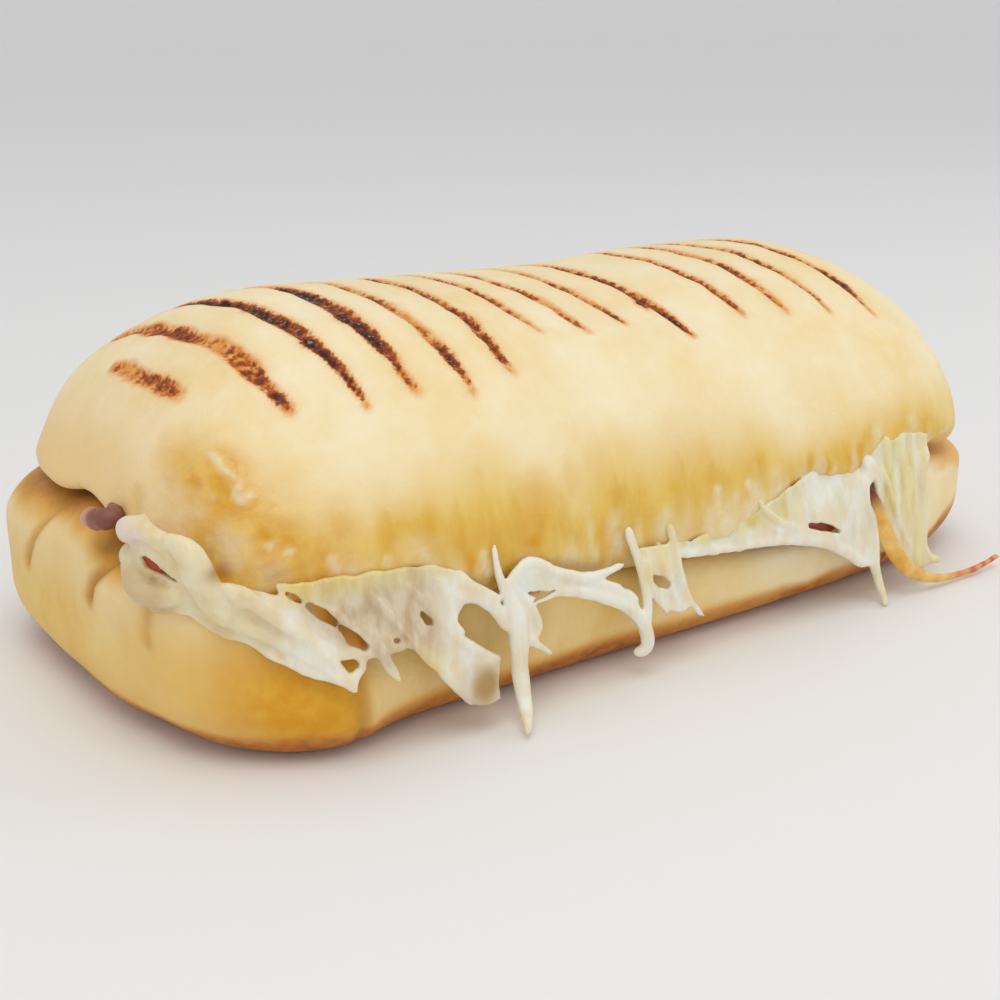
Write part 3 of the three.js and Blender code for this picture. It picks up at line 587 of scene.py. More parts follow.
def fold_relief(points, folds):
    """Relief of folds, each a groove between two soft swellings, and painted shade along their grooves."""
    relief, dark = np.zeros((2,) + points.shape[:-1])
    for axes, half, depth, *line in folds:
        away = line_distance(points * axes, np.array(line) * axes) + 0.25 * noise(points, 3, 33)
        relief += depth * (0.4 * hill(2.6, 1.8, away) - hill(0, half, away))
        dark = np.maximum(dark, depth * hill(0, half + 0.8, away))
    return relief, dark


def oily_mask(points):
    away = np.minimum.reduce([line_distance(points, line) for line in OILY_LINES])
    under_crown = ramp(56, 47, points[..., 2] + 2 * noise(points, 5, 9))
    return ramp(13, 2, away + 3 * noise(points, 6, 5)) * under_crown


def smear_and_highlight_mask(points, above_lip):
    """Melted cheese that lies thinly on the crust: smears, wisps at the lip, and films, with painted
    highlights among the smears.
    """
    x, y, _ = np.moveaxis(points, -1, 0)
    ragged = 0.3 * noise(points, (1.6, 1.6, 5), 13)
    smears_and_highlights = []
    for half, strength, *line in SMEARS_AND_HIGHLIGHTS:
        far = line_distance(points * SMEAR_AXES, np.array(line) * SMEAR_AXES) + ragged
        smears_and_highlights.append(strength * ramp(half + 0.8, half - 0.5, far))
    wisp = noise(points, (1.7, 9, 22), 16) + 0.5 * noise(points, (5, 9, 30), 18)
    wisps = ramp(7, 0.5, above_lip - 4 * wisp) * ramp(-0.1, 0.5, wisp + 0.5 * ramp(5, 1, above_lip))
    wisps = 0.55 * wisps * ramp(-44, -50, y) * band(-84, -76, 66, 76, x)
    films = spot_mask(points, FILMS, FILM_STRETCH) * (0.95 + 0.2 * noise(points, (4, 6, 10), 19))
    return np.maximum.reduce(smears_and_highlights + [wisps, films])


def crust_relief_top(points):
    """How far the top crust stands off its plain form, and its painting masks."""
    x, y, z = np.moveaxis(points, -1, 0)
    char, toast, press = grill_masks(points)
    above_lip = z - top_cut_height(x, y) + lip_droop(x, y)
    low = ramp(54 - 8 * ramp(-10, 30, x), 30, z + 3 * noise(points, (16, 20, 20), 12))
    low = low * ramp(-12, -36, y) * (1 - 0.4 * ramp(58, 80, x))
    near_lip = ramp(15, 2, above_lip) * ramp(-40, -48, y) * ramp(80, 60, x)
    oily = oily_mask(points)
    smear_and_highlight = smear_and_highlight_mask(points, above_lip)
    folds, fold_shade = fold_relief(points, TOP_FOLDS)
    pleat = 0.3 * noise(points, (5.5, 8, 22), 3) + 0.15 * noise(points, (2.6, 6, 12), 4)
    wet = np.abs(cloud(points, (4.2, 4.2, 5.5), 6))
    relief = 0.35 * noise(points, 22, 1) + 0.18 * noise(points, 9, 2) + low * pleat + 0.3 * smear_and_highlight + folds
    relief += oily * (0.3 - 0.7 * wet + 0.12 * noise(points, 1.7, 8))
    relief += 0.2 * toast * (1 - press) - MARK_DEPTH * press
    streaks = noise(points, (9, 12, 22), 10) + 0.35 * noise(points, (3.4, 9, 14), 15)
    golden = np.maximum(low * (0.88 + 0.22 * streaks), 0.6 * oily) + near_lip * (0.3 + 0.3 * streaks)
    wet_amber = oily * (0.5 + 0.3 * noise(points, 5, 11))
    # Amber: butter, and painted shade along the folds
    amber = np.maximum.reduce([wet_amber, spot_mask(points, AMBER_SPOTS, AMBER_STRETCH), 0.7 * fold_shade])
    return relief, {
        "char": char,
        "toast": toast,
        "golden": np.clip(golden, 0, 1),
        "amber": np.clip(amber, 0, 1),
        "oily": oily,
        # Tan on the left end below the crown is a painted shading tone of the end
        "tan": 0.8 * ramp(-74, -98, x) * ramp(62, 40, z),
        # Brown here is painted shade, along the folds and in the shadow spots
        "brown": np.maximum(0.3 * fold_shade, spot_mask(points, SHADOW_SPOTS, SHADOW_STRETCH)),
        "smear_and_highlight": smear_and_highlight,
    }


def crust_relief_bottom(points):
    """How far the bottom crust stands off its plain form, and its painting masks."""
    x, y, z = np.moveaxis(points, -1, 0)
    folds, fold_shade = fold_relief(points, CREASES)
    relief = 0.35 * noise(points, 20, 31) + 0.14 * noise(points, 8, 32) + folds
    relief += 0.12 * noise(points, (2.6, 6, 12), 40) * ramp(-44, -50, y)
    height = z + 0.6 * noise(points, 9, 34) - 5 * ramp(74, 84, x) * ramp(-20, -36, y)
    # A dark brown band at the base: browned crust, and painted shade where the side turns under
    base_browning_and_shade = ramp(7.2, 4.0, height) * (0.85 + 0.3 * noise(points, 12, 35))
    base_glow = ramp(8.4, 5.0, height + 0.8 * noise(points, (14, 14, 20), 41))
    from_corner = np.linalg.norm((points - np.array(TOASTED_CORNER)) * (0.9, 0.8, 1.1), axis=-1)
    corner = ramp(21, 6, from_corner + 1.5 * noise(points, 12, 36)) * ramp(-69, -73, x)
    below = lip_height(x, y) - rim_gap(x, y) - z + 1.2 * noise(points, 6, 37)
    # Painted shade on the left end, just under the top's lip
    left_seam_shade = ramp(-78, -92, x) * ramp(6, 1.5, below) * ramp(-34, -27, y)
    right_seam = ramp(68, 84, x) * ramp(4.4, 1, below)
    left = ramp(-86, -99, x)
    golden = 0.22 - 0.2 * ramp(0, 40, x) + 0.22 * ramp(74, 88, x) + 0.1 * noise(points, (22, 22, 14), 38)
    golden += 0.34 * ramp(-40, -50, y) * ramp(20, -20, x) + 0.3 * left * ramp(30, 16, z)
    # Tan: an uneven tone, less on the front, and on the lower left end a painted shading tone of the end
    tan = 0.35 - 0.4 * ramp(-44, -50, y) + 0.5 * left * ramp(30, 12, z) + 0.3 * noise(points, 18, 39)
    # Amber: the toasted corner and base, the band under the cut at the right end, and painted shade under the
    # lip at the left and in the creases
    amber = np.maximum.reduce([corner, 0.85 * left_seam_shade, 0.63 * right_seam, fold_shade, 0.7 * base_glow])
    # Brown: browned base, with painted shade at the base, under the lip at the left and in the creases
    brown = np.maximum.reduce([base_browning_and_shade, 0.5 * left_seam_shade * ramp(3.5, 0, below), 0.4 * fold_shade])
    return relief * ramp(0.3, 4, z), {
        "char": 0.42 * ramp(3.4, 1.2, np.linalg.norm(points - np.array(BURNT_AND_SHADED_SPOT), axis=-1)),
        "toast": 0.42 * base_glow,
        "golden": np.clip(golden, 0, 0.6),
        "amber": np.clip(amber, 0, 1),
        "oily": 0.2 * corner,
        "tan": np.clip(tan, 0, 1),
        "brown": np.clip(brown, 0, 1),
        "smear_and_highlight": 0 * x,
    }


def rolled_point(along, out, z):
    """The point in space of a place on the rolled-out front."""
    start_x, start_y, out_x, out_y = (np.interp(along, FRONT_WALKED, values) for values in FRONT_PLACES)
    x = start_x + out * out_x
    y = start_y + out * out_y
    shift_x, shift_y = corner_shift(x, y, z)
    return np.stack([x + shift_x, y + shift_y, z + 0 * x], -1)


# The bead of cheese in the gap behind the corner mass and the web: its ends, how far out, and its radius
BEAD_ENDS = (-109, -68)
BEAD_OUT = -1.4
BEAD_RADIUS = 2.7
BEAD_STEP = 2.0
RIM_INSIDE = -2.5
CLEAR_OF_CORNER = 60.0


def bead_path():
    """Places half way up the gap, measured just inside its rim and clear of the corner's bulge."""
    along = np.arange(*BEAD_ENDS, BEAD_STEP)
    x, y, _ = np.moveaxis(rolled_point(along, RIM_INSIDE, CLEAR_OF_CORNER), -1, 0)
    height = bottom_cut_height(x, y) + 0.5 * (gap_height(x, y) - lip_droop(x, y))
    return np.stack([along, height, BEAD_OUT + 0 * along, BEAD_RADIUS + 0 * along], -1)


# Places are written where the eye at the front left sees them on the plane that lies DRAWN_OUT in front.
# A place that is further out is slid back along the line of sight to its real one.
DRAWN_OUT = 4.0
EYE = (-184.0, -244.3, 118.6)

# Each strand is its flatness, 1 for a round one, and a list of places (along, height, out, radius)
STRANDS = (
    # The corner mass: a pale lump on top, a lobe under the lip, a bulge below and the ridge down to its tip
    (0.8, (-108, 39.8, 0.8, 1.2), (-106.2, 41.4, 1.5, 1.9), (-103.8, 42, 1.8, 1.7),
     (-101.2, 40.6, 1.8, 1.1), (-99.2, 38.6, 2, 0.8)),
    (0.8, (-98.6, 40.6, 2, 1.3), (-96.2, 39.4, 3, 2), (-94.6, 36, 3.5, 2.3), (-93.4, 32.2, 3.4, 2.1),
     (-91.6, 28.6, 3, 1.6)),
    (0.8, (-107.4, 35.6, 1, 1.3), (-105.4, 32, 1.6, 2), (-102, 31, 1.8, 2), (-98.6, 31.6, 2, 1.5)),
    (0.8, (-94, 29.6, 2.2, 1.2), (-89, 27.2, 2.6, 1.3), (-84, 24, 2.6, 1.2), (-79.6, 20.8, 3, 1),
     (-76.6, 18, 3.4, 0.8), (-75.1, 15.7, 3.8, 0.35)),
    (0.8, (-91, 33.6, 3.4, 1.2), (-87, 30.6, 3.8, 1.4), (-83.4, 27, 3.9, 1.1), (-80, 24.2, 3.7, 0.8)),
    # The bright hem between the mass and the web, which ends in a small loop
    (0.8, (-82.6, 26.6, 3.4, 0.5), (-79, 23.5, 3.7, 0.6), (-76.2, 21.4, 3.9, 0.6), (-74.4, 21, 4.1, 0.42),
     (-73, 20.2, 4.2, 0.36), (-73.2, 18.9, 4.2, 0.36), (-74.4, 18.1, 4.1, 0.42), (-75.2, 16.8, 4, 0.5)),
    # Threads, a tooth and slanting folds of the left web
    (0.8, (-73, 20.4, 4.2, 0.32), (-70, 20.1, 4.2, 0.42), (-66, 20.2, 4.2, 0.45), (-62.6, 19.6, 4.2, 0.5)),
    (0.6, (-72.2, 26.6, 4, 0.6), (-70.4, 22.8, 4.2, 0.9), (-69, 18.8, 4.2, 0.95), (-67.6, 16.6, 4.2, 0.55),
     (-66.6, 14.8, 4.2, 0.2)),
    (0.8, (-71, 30.4, 3.4, 0.4), (-67.4, 26.4, 4.3, 0.55), (-64.4, 22.4, 4.5, 0.65),
     (-61.6, 18.4, 4.6, 0.65), (-58.6, 14.6, 4.7, 0.7), (-55.4, 10.6, 4.8, 0.7), (-51.6, 6, 4.9, 0.6)),
    (0.8, (-63, 29.6, 4, 0.45), (-59.6, 25.4, 4.4, 0.6), (-56.6, 21.2, 4.7, 0.7), (-52.6, 17, 4.8, 0.7),
     (-48.8, 14, 4.9, 0.6), (-46, 12.4, 5, 0.5)),
    (0.8, (-80.6, 29.8, 3.6, 0.4), (-77.6, 28.6, 3.8, 0.45), (-74.6, 26.4, 4, 0.5),
     (-71.6, 22.4, 4.2, 0.5)),
    (0.7, (-57.4, 29.4, 4.2, 0.5), (-56.2, 24.8, 4.5, 0.6), (-54.8, 20.6, 4.8, 0.7), (-53, 19.2, 4.9, 0.4)),
    # The trunk that hangs to the ground, the two arcs that join it from the left, and its loop and spike
    (0.7, (-46.8, 33.2, 3.3, 0.4), (-46.1, 29, 4.2, 0.6), (-45.2, 26, 4.8, 0.8), (-43.4, 22.2, 5, 1.4),
     (-42.2, 18.4, 5.2, 2), (-41.6, 14.6, 5.2, 1.95), (-41.4, 11, 5.3, 1.6), (-41.1, 7.6, 5.5, 1.6),
     (-40.6, 4.2, 6.4, 1.4), (-40, 1.2, 8, 1.2), (-39.6, -1.2, 9.9, 1), (-39.3, -3.4, 12, 0.5)),
    (0.7, (-54.4, 30, 2.8, 0.6), (-52.2, 27.6, 4.4, 0.85), (-49.4, 25.6, 4.8, 1), (-46.4, 23.4, 5, 1)),
    (0.6, (-58.4, 27, 4, 0.7), (-54.4, 26, 4.4, 0.9), (-50.4, 24.6, 4.8, 1.05), (-46.8, 22, 5, 1.15),
     (-44.2, 18.2, 5.1, 1.1)),
    (0.8, (-43.8, 25.6, 4.8, 0.5), (-41.2, 23, 5, 0.7), (-39.2, 20.4, 5.1, 0.7), (-37.8, 17.8, 5.1, 0.6),
     (-37.5, 16, 5.1, 0.5), (-38.7, 14.5, 5.1, 0.55), (-40.6, 13.8, 5.1, 0.7)),
    (0.8, (-40.4, 15.2, 5.2, 0.8), (-38.4, 13.5, 5.2, 0.58), (-36.4, 11.9, 5.2, 0.38),
     (-34.7, 10.5, 5.2, 0.2)),
    # The upper strand with its tapered tip, and the long arc that curls under at its foot
    (0.8, (-44.4, 25.2, 4.8, 0.5), (-42.6, 27, 4.8, 0.7), (-40.2, 28.7, 4.7, 0.7), (-37.4, 27.8, 4.7, 0.85),
     (-34, 25.7, 4.8, 0.9), (-30, 24, 4.9, 0.9), (-26.6, 22.9, 4.9, 0.95), (-22, 23.1, 4.8, 0.6),
     (-18.4, 23.5, 4.7, 0.2)),
    (0.8, (-42.4, 23.2, 4.9, 0.4), (-38, 21.4, 5, 0.5), (-34, 21.7, 5, 0.7), (-30, 21.1, 5, 0.9),
     (-25.6, 19.5, 5, 1.05), (-21, 17.4, 5, 1.1), (-17.2, 15, 5, 1.15), (-14.2, 12.2, 5, 1.3),
     (-12.5, 9.2, 5, 1.3), (-11.9, 6.8, 4.9, 1.2), (-12.8, 5.4, 4.5, 0.95), (-14.8, 5.6, 4, 0.5)),
    (0.7, (-28, 22.8, 4.9, 0.5), (-23.6, 21, 5, 0.6), (-19, 18.4, 5, 0.7), (-15.6, 15.8, 5, 0.7)),
    # The web to the right of it, with the strands at its edges
    (0.7, (-17.6, 30, 3.2, 0.4), (-17, 28.4, 3.4, 0.7), (-16.2, 26.4, 3.7, 0.7), (-14.8, 23, 4.4, 0.7),
     (-13.4, 18.6, 4.8, 0.75), (-12.6, 15, 4.9, 0.9), (-12.4, 11.6, 5, 1)),
    (0.8, (-13.4, 23, 4.6, 0.4), (-12, 19, 4.8, 0.65), (-10, 15, 4.8, 0.55), (-7.1, 11.1, 4.7, 0.2)),
    (0.8, (-7.8, 28.8, 3.2, 0.4), (-7.4, 27.6, 3.4, 0.6), (-6.8, 26, 3.7, 0.65), (-5.9, 23, 4.2, 0.75),
     (-4.9, 19.6, 4.6, 0.8), (-3.5, 15.8, 4.6, 0.75), (-1.4, 12, 4.5, 0.6), (1.9, 8.6, 4.3, 0.2)),
    (0.8, (-10.6, 26, 2.4, 0.5), (-9.4, 22.4, 4.3, 0.5), (-7.8, 19, 4.7, 0.55), (-6.4, 15.4, 4.7, 0.5),
     (-4, 11.8, 4.6, 0.3)),
    # The hem that sags along the right half, and the strand that joins it from the crust
    (0.8, (-6.4, 22.6, 4.1, 0.5), (0, 21.8, 4.2, 0.6), (6, 21, 4.3, 0.65), (12, 20.4, 4.4, 0.6),
     (18, 20, 4.6, 0.75), (24, 19.1, 4.8, 0.9), (30, 17.7, 5, 1.05), (34.6, 16.3, 5, 1.1),
     (38.6, 14.3, 5, 1.1), (42.6, 12, 5, 1.1), (46.4, 9.4, 5, 1.2)),
    (0.8, (14.4, 29.6, 3, 0.25), (16.6, 27.2, 3.9, 0.45), (19.8, 24.5, 4.6, 0.7), (23.6, 22.3, 4.8, 0.8),
     (27.6, 20.8, 4.9, 0.75), (31, 19.2, 5, 0.5)),
    (0.8, (13, 26.6, 2.4, 0.3), (16.6, 24.2, 4, 0.4), (20.4, 22, 4.6, 0.5), (25, 20.4, 4.8, 0.5)),
    # The right patch: its upper left edge, its right edge and its tail
    (0.8, (44.2, 32, 2.6, 0.8), (45.8, 31, 3.4, 1.3), (46.8, 29, 4, 1.3), (46.4, 26.8, 4.5, 0.8)),
    (0.8, (46.6, 30.4, 3, 0.5), (45.8, 26.6, 4.6, 0.7), (46.4, 22.6, 4.9, 0.7), (48.4, 18.6, 5, 0.75),
     (49.8, 14, 5.1, 0.9), (50, 9.6, 5.2, 1.1), (51.4, 5.6, 5.5, 0.85), (53.2, 2.2, 6.2, 0.65),
     (54.6, -0.6, 7.4, 0.5), (55.2, -2, 8.4, 0.3)),
    (0.7, (44, 26, 4.6, 0.5), (42.6, 21.4, 4.9, 0.7), (43.6, 16.4, 5, 0.8), (46.4, 11.6, 5.1, 0.9)),
    # The two columns at the right
    (0.7, (48.4, 31, 1.6, 0.5), (52, 26.4, 4.2, 0.6), (55.2, 20.6, 4.8, 0.5), (58.2, 14.6, 4.9, 0.4),
     (61.8, 9.4, 5, 0.35), (65, 6, 5.4, 0.3)),
    (0.7, (63, 31.4, 1.6, 0.6), (63.8, 26, 4.2, 0.85), (65.1, 20, 4.8, 0.75), (66.1, 14, 4.9, 0.6),
     (67.2, 8.6, 5, 0.45), (69, 5.6, 5.6, 0.5), (71.4, 4.2, 6.2, 0.5), (73.4, 3.4, 6.8, 0.25)),
    (0.7, (50.6, 35.4, 2.7, 0.4), (51.4, 33.6, 2.9, 0.7), (52.6, 30, 3.4, 0.5), (53.4, 27, 4, 0.3)),
    (0.7, (56, 34.4, 2.5, 0.3), (56.6, 32.4, 2.8, 0.5), (57.4, 28.4, 3.6, 0.5), (58.6, 24, 4.4, 0.5),
     (60.8, 16, 4.8, 0.4), (63.2, 9.6, 5, 0.35)),
)

# Each sheet is its half thickness and an outline of places (along, height, out)
SHEETS = (
    # The corner mass
    (0.95, (-108.8, 40.4, 0.2), (-107, 42.8, 0.6), (-104, 43.8, 0.8), (-101, 42.4, 1.1), (-98, 41.4, 1.6),
     (-95, 39.4, 2.2), (-92.2, 34.2, 2.6), (-88, 33, 2.8), (-84.6, 32, 3), (-82, 29.4, 3.1),
     (-79.6, 25, 3.3), (-76.8, 21.6, 3.7), (-75, 16.4, 3.8), (-77.2, 17.1, 3), (-80, 18, 2.4),
     (-83, 19.6, 1.9), (-86, 21.2, 1.5), (-88.2, 23.2, 1.2), (-91.2, 24, 1), (-94.2, 25.8, 0.8),
     (-97, 28.2, 0.6), (-100, 28.6, 0.5), (-103, 27.4, 0.4), (-106, 28.4, 0.2), (-108.4, 31, 0),
     (-108.6, 34, -0.1), (-107.6, 37.4, -0.2)),
    # The web from the lip down to the flap beside the trunk
    (0.5, (-85, 34, 2.6), (-76, 33.6, 2.7), (-66, 33.2, 2.7), (-58.5, 32.4, 2.9), (-54, 30.8, 3.4),
     (-51, 28, 4.6), (-49.6, 25, 4.8), (-52.6, 24, 4.7), (-54.4, 21.4, 4.7), (-53.8, 20.2, 4.7),
     (-51.4, 17.4, 4.8), (-48.4, 14.8, 4.9), (-46, 12.8, 4.9), (-53.6, 10, 4.7), (-56.4, 12.4, 4.6),
     (-58.4, 14.2, 4.6), (-60.4, 15.8, 4.5), (-62.4, 17.8, 4.4), (-64, 20.2, 4.3), (-70.6, 20.4, 4.2),
     (-74, 20.8, 4.1), (-77.4, 23, 3.8), (-80.6, 26.4, 3.5), (-84, 30.6, 3.2)),
    # The cheese behind its holes
    (0.4, (-84, 33, 1.9), (-78, 32, 1.95), (-70, 26, 2), (-68, 21, 2), (-74, 21.4, 2), (-82, 26, 1.9)),
    # The flap of the web beside the trunk
    (0.7, (-56.6, 12.6, 4.7), (-52, 14, 4.9), (-46, 12.8, 4.9), (-45.6, 9, 5), (-45.8, 5, 5.2),
     (-48, 4.5, 5.2), (-50.6, 5.2, 5.1), (-54.4, 9, 4.9)),
    # The fold between the trunk and the upper strand, the loop, and the web above the long arc
    (0.45, (-44, 25.4, 4.8), (-40, 28.2, 4.7), (-34, 25.2, 4.8), (-29, 23.2, 4.9), (-31, 21.6, 4.9),
     (-34.6, 22.6, 4.9), (-38.6, 22.8, 4.9), (-41.6, 24, 4.9)),
    (0.4, (-43, 23.4, 4.9), (-39.8, 20, 5), (-38.2, 16.8, 5.1), (-39.6, 14.4, 5.1), (-42, 14, 5.1)),
    (0.45, (-31, 23.6, 4.9), (-26, 22.6, 4.9), (-19, 19.8, 4.9), (-15, 16.6, 4.9), (-13.6, 12.6, 5),
     (-18, 15.4, 5), (-24, 18.6, 5), (-30, 21, 5)),
    # The web to the right of the long arc
    (0.38, (-16.4, 26, 3), (-5.6, 25.6, 3), (-5.2, 19.8, 4.5), (-8, 18.2, 4.6), (-11.8, 20.2, 4.6),
     (-13.4, 19.6, 4.7)),
    (0.38, (-11.6, 18.4, 4.7), (-8, 18.6, 4.6), (-5, 20.4, 4.5), (-3.6, 14.8, 4.5), (-1.8, 11.6, 4.4),
     (-4, 10.8, 4.5), (-7, 11.8, 4.6), (-9.6, 14.4, 4.7)),
    # The curtain along the right half
    (0.42, (-7.4, 25.2, 3.4), (4, 25.4, 3.6), (12, 26.2, 3.6), (19, 28.6, 3.4), (24, 30.6, 3.1),
     (27, 31.4, 2.7), (31, 24, 4.7), (34, 17, 5), (28, 18.6, 5), (20, 20, 4.7), (10, 20.8, 4.4),
     (0, 21.4, 4.2), (-6, 22, 4.1)),
    # The right patch
    (0.65, (26, 32, 1.6), (30.6, 33, 1.6), (34, 32.6, 1.8), (40, 32.4, 2), (44, 32.8, 2), (46.8, 33.6, 2),
     (45.8, 26, 4.7), (46.6, 21.8, 4.9), (49, 17.4, 5), (50.2, 12, 5.1), (50.6, 8, 5.2), (47.2, 8.4, 5.1),
     (42, 11.8, 5), (35.6, 15.6, 5), (30, 17.6, 5), (25.6, 19.4, 4.9)),
    # The curtain between the two columns
    (0.5, (46.6, 33.4, 2.4), (49.6, 35, 2.5), (53, 34.2, 2.4), (56.4, 35.6, 2.2), (60.6, 34.8, 2),
     (64.8, 34, 1.8), (65.2, 27, 3.8), (66.2, 18, 4.6), (67.2, 10, 4.7), (68.8, 5.6, 5.2), (71, 3.6, 6),
     (66.4, 3, 6), (60.6, 5.4, 5.1), (56.4, 10, 4.6), (53.2, 15.4, 4.4), (50.4, 21.4, 4.2), (48.6, 25.6, 4),
     (46.6, 28.4, 3.6)),
)

# Holes and slits through the sheets: places (along, height, half width)
HOLES = (
    ((-82.8, 31.8, 0.2), (-81.8, 31, 0.4), (-80.8, 30.2, 0.25)),
    ((-79.6, 29.4, 0.5), (-77.8, 27.8, 1), (-76, 26.2, 0.5)),
    ((-75.2, 25.4, 0.5), (-73.8, 23.4, 1.2), (-72.2, 21.8, 0.6)),
    ((-61.2, 24.6, 0.35), (-60.2, 23.2, 0.7), (-59.6, 22.6, 0.3)),
    ((-66.8, 21.6, 0.5), (-66.2, 21.3, 0.5)),
    ((-11.8, 19.6, 0.6), (-9.8, 18.4, 1.2), (-8.4, 17.5, 0.7)),
    ((-39.4, 21.9, 0.3), (-37.4, 22.3, 0.5), (-35, 22.8, 0.2)),
    ((28.2, 21.5, 0.3), (30.6, 20.9, 0.85), (33.6, 20, 0.85), (37.4, 18.4, 0.25)),
    ((-104.6, 36.7, 0.3), (-103.4, 36.2, 1), (-101.6, 35.5, 0.65), (-98.4, 34.3, 0.15)),
    ((-74.3, 19.7, 0.4), (-74.1, 19.4, 0.4)),
)

# Between these places along the front the holes stop at the cheese behind the web. Each kind of hole fades in
# between two distances out from the front.
BACKED = (-86.0, -70.0)
BACKED_HOLE_BASE = (2.35, 2.7)
OPEN_HOLE_BASE = (-1.6, -0.6)

# The grid of the cheese, how softly its parts join, and how its surface is evened out
CHEESE_BOX = {"along": (-120.0, 82.0), "out": (-4.6, 14.5), "height": (0.25, 52.0)}
FAR = 3.0
BLEND = 0.8
STRAND_SCALE = 0.86
DRAW_IN = 0.55
PUSH_BACK = -0.57


class CheeseField:
    """Distances to the cheese on a grid over the rolled-out front, joined softly piece by piece."""

    def __init__(self):
        self.axes = [np.arange(low, high, CHEESE_VOXEL) for low, high in CHEESE_BOX.values()]
        self.values = np.full([len(axis) for axis in self.axes], FAR)

    def window(self, low, high):
        """The part of the grid between two corners, as slices and coordinates."""
        cuts = []
        for axis, a, b in zip(self.axes, low, high):
            start = int(np.searchsorted(axis, a))
            cuts.append(slice(start, max(start + 1, int(np.searchsorted(axis, b)))))
        return tuple(cuts), np.meshgrid(*[axis[cut] for axis, cut in zip(self.axes, cuts)], indexing="ij")

    def add(self, cut, distance):
        """Joins a part on, with a soft fillet where it meets the others."""
        old = self.values[cut]
        close = np.maximum(BLEND - np.abs(old - distance), 0) / BLEND
        self.values[cut] = np.minimum(old, distance) - close * close * BLEND / 4

    def strand(self, path, flat):
        """A thread through places (along, height, out, radius), thinner outwards where flat is under 1."""
        stretch = np.array((1, 1 / flat, 1))
        path = smooth_path(path)[:, [0, 2, 1, 3]]
        for start, end in zip(path, path[1:]):
            margin = max(start[3], end[3]) + 2 * BLEND
            cut, grid = self.window(np.minimum(start, end)[:3] - margin, np.maximum(start, end)[:3] + margin)
            offsets = [(values - a) * k for values, a, k in zip(grid, start, stretch)]
            share, far = from_segment(offsets, (end - start)[:3] * stretch)
            self.add(cut, far - STRAND_SCALE * mix(start[3], end[3], share))

    def sheet(self, edge, half):
        """A skin inside an outline of places (along, height, out), with a rounded edge."""
        edge = slid_back(edge)
        low, high = edge.min(0)[[0, 2, 1]] - 2 * BLEND, edge.max(0)[[0, 2, 1]] + 2 * BLEND
        cut, (along, out, height) = self.window(low, high)
        along, height = along[:, 0], height[:, 0]
        spots = np.stack([along, 0 * along, height], -1)
        inside = polygon_distance(along, height, edge[:, :2]) + 0.25 * noise(spots, 3, 51)
        square = (along[..., None] - edge[:, 0]) ** 2 + (height[..., None] - edge[:, 1]) ** 2
        weight = 1 / (0.5 + square) ** 1.5
        middle = (weight * edge[:, 2]).sum(-1) / weight.sum(-1) + 0.3 * noise(spots, (3.6, 4, 12), 52)
        thickness = half * (1 + 0.35 * noise(spots, (1.8, 4, 6), 53))
        across = np.abs(out - middle[:, None]) - thickness[:, None]
        self.add(cut, np.hypot(np.maximum(inside[:, None] + half, 0), np.maximum(across + half, 0)) - half)

    def hole(self, path):
        """An opening round places (along, height, half width)."""
        path = np.array(path, float)
        margin = path[:, 2].max() + 1.5
        nearest, furthest = CHEESE_BOX["out"]
        low, high = path.min(0) - margin, path.max(0) + margin
        cut, (along, out, height) = self.window((low[0], nearest, low[1]), (high[0], furthest, high[1]))
        best = np.full(along.shape, 3 * FAR)
        for start, end in zip(path, path[1:]):
            share, far = from_segment((along - start[0], height - start[1]), (end - start)[:2])
            best = np.minimum(best, far - mix(start[2], end[2], share))
        base = BACKED_HOLE_BASE if BACKED[0] < path[0, 0] < BACKED[1] else OPEN_HOLE_BASE
        outside = ramp(*base, out)
        cleared = np.where(outside > 0, -best - FAR * (1 - outside), -3 * FAR)
        self.values[cut] = np.maximum(self.values[cut], cleared)


def slid_back(places):
    """Drawn places moved back along the line of sight to where they really are."""
    places = np.array(places, float)
    further = (places[:, 2] - DRAWN_OUT) * ramp(-92, -80, places[:, 0])
    share = further / (-EYE[1] - BOTTOM["width"] - DRAWN_OUT)
    places[:, 0] += (EYE[0] - places[:, 0]) * share
    places[:, 1] += (EYE[2] - places[:, 1]) * share
    return places


def smooth_path(path, steps=4):
    """More places along a smooth curve through the given ones."""
    path = np.array(path, float)
    padded = np.vstack([2 * path[0] - path[1], path, 2 * path[-1] - path[-2]])
    out = []
    for a, b, c, d in zip(padded, padded[1:], padded[2:], padded[3:]):
        for t in np.arange(steps) / steps:
            bend = 2 * a - 5 * b + 4 * c - d
            out.append(0.5 * (2 * b + (c - a) * t + bend * t**2 + (3 * b - a - 3 * c + d) * t**3))
    return np.array(out + [path[-1]])


def polygon_distance(x, y, corners):
    """Distance to a polygon's edge, negative inside."""
    best = np.full(x.shape, 1e9)
    inside = np.zeros(x.shape, bool)
    for (x0, y0), (x1, y1) in zip(corners, np.roll(corners, -1, 0)):
        best = np.minimum(best, from_segment((x - x0, y - y0), (x1 - x0, y1 - y0))[1])
        crosses = (y0 > y) != (y1 > y)
        inside ^= crosses & (x < x0 + (x1 - x0) * (y - y0) / ((y1 - y0) or 1e-9))
    return np.where(inside, -best, best)


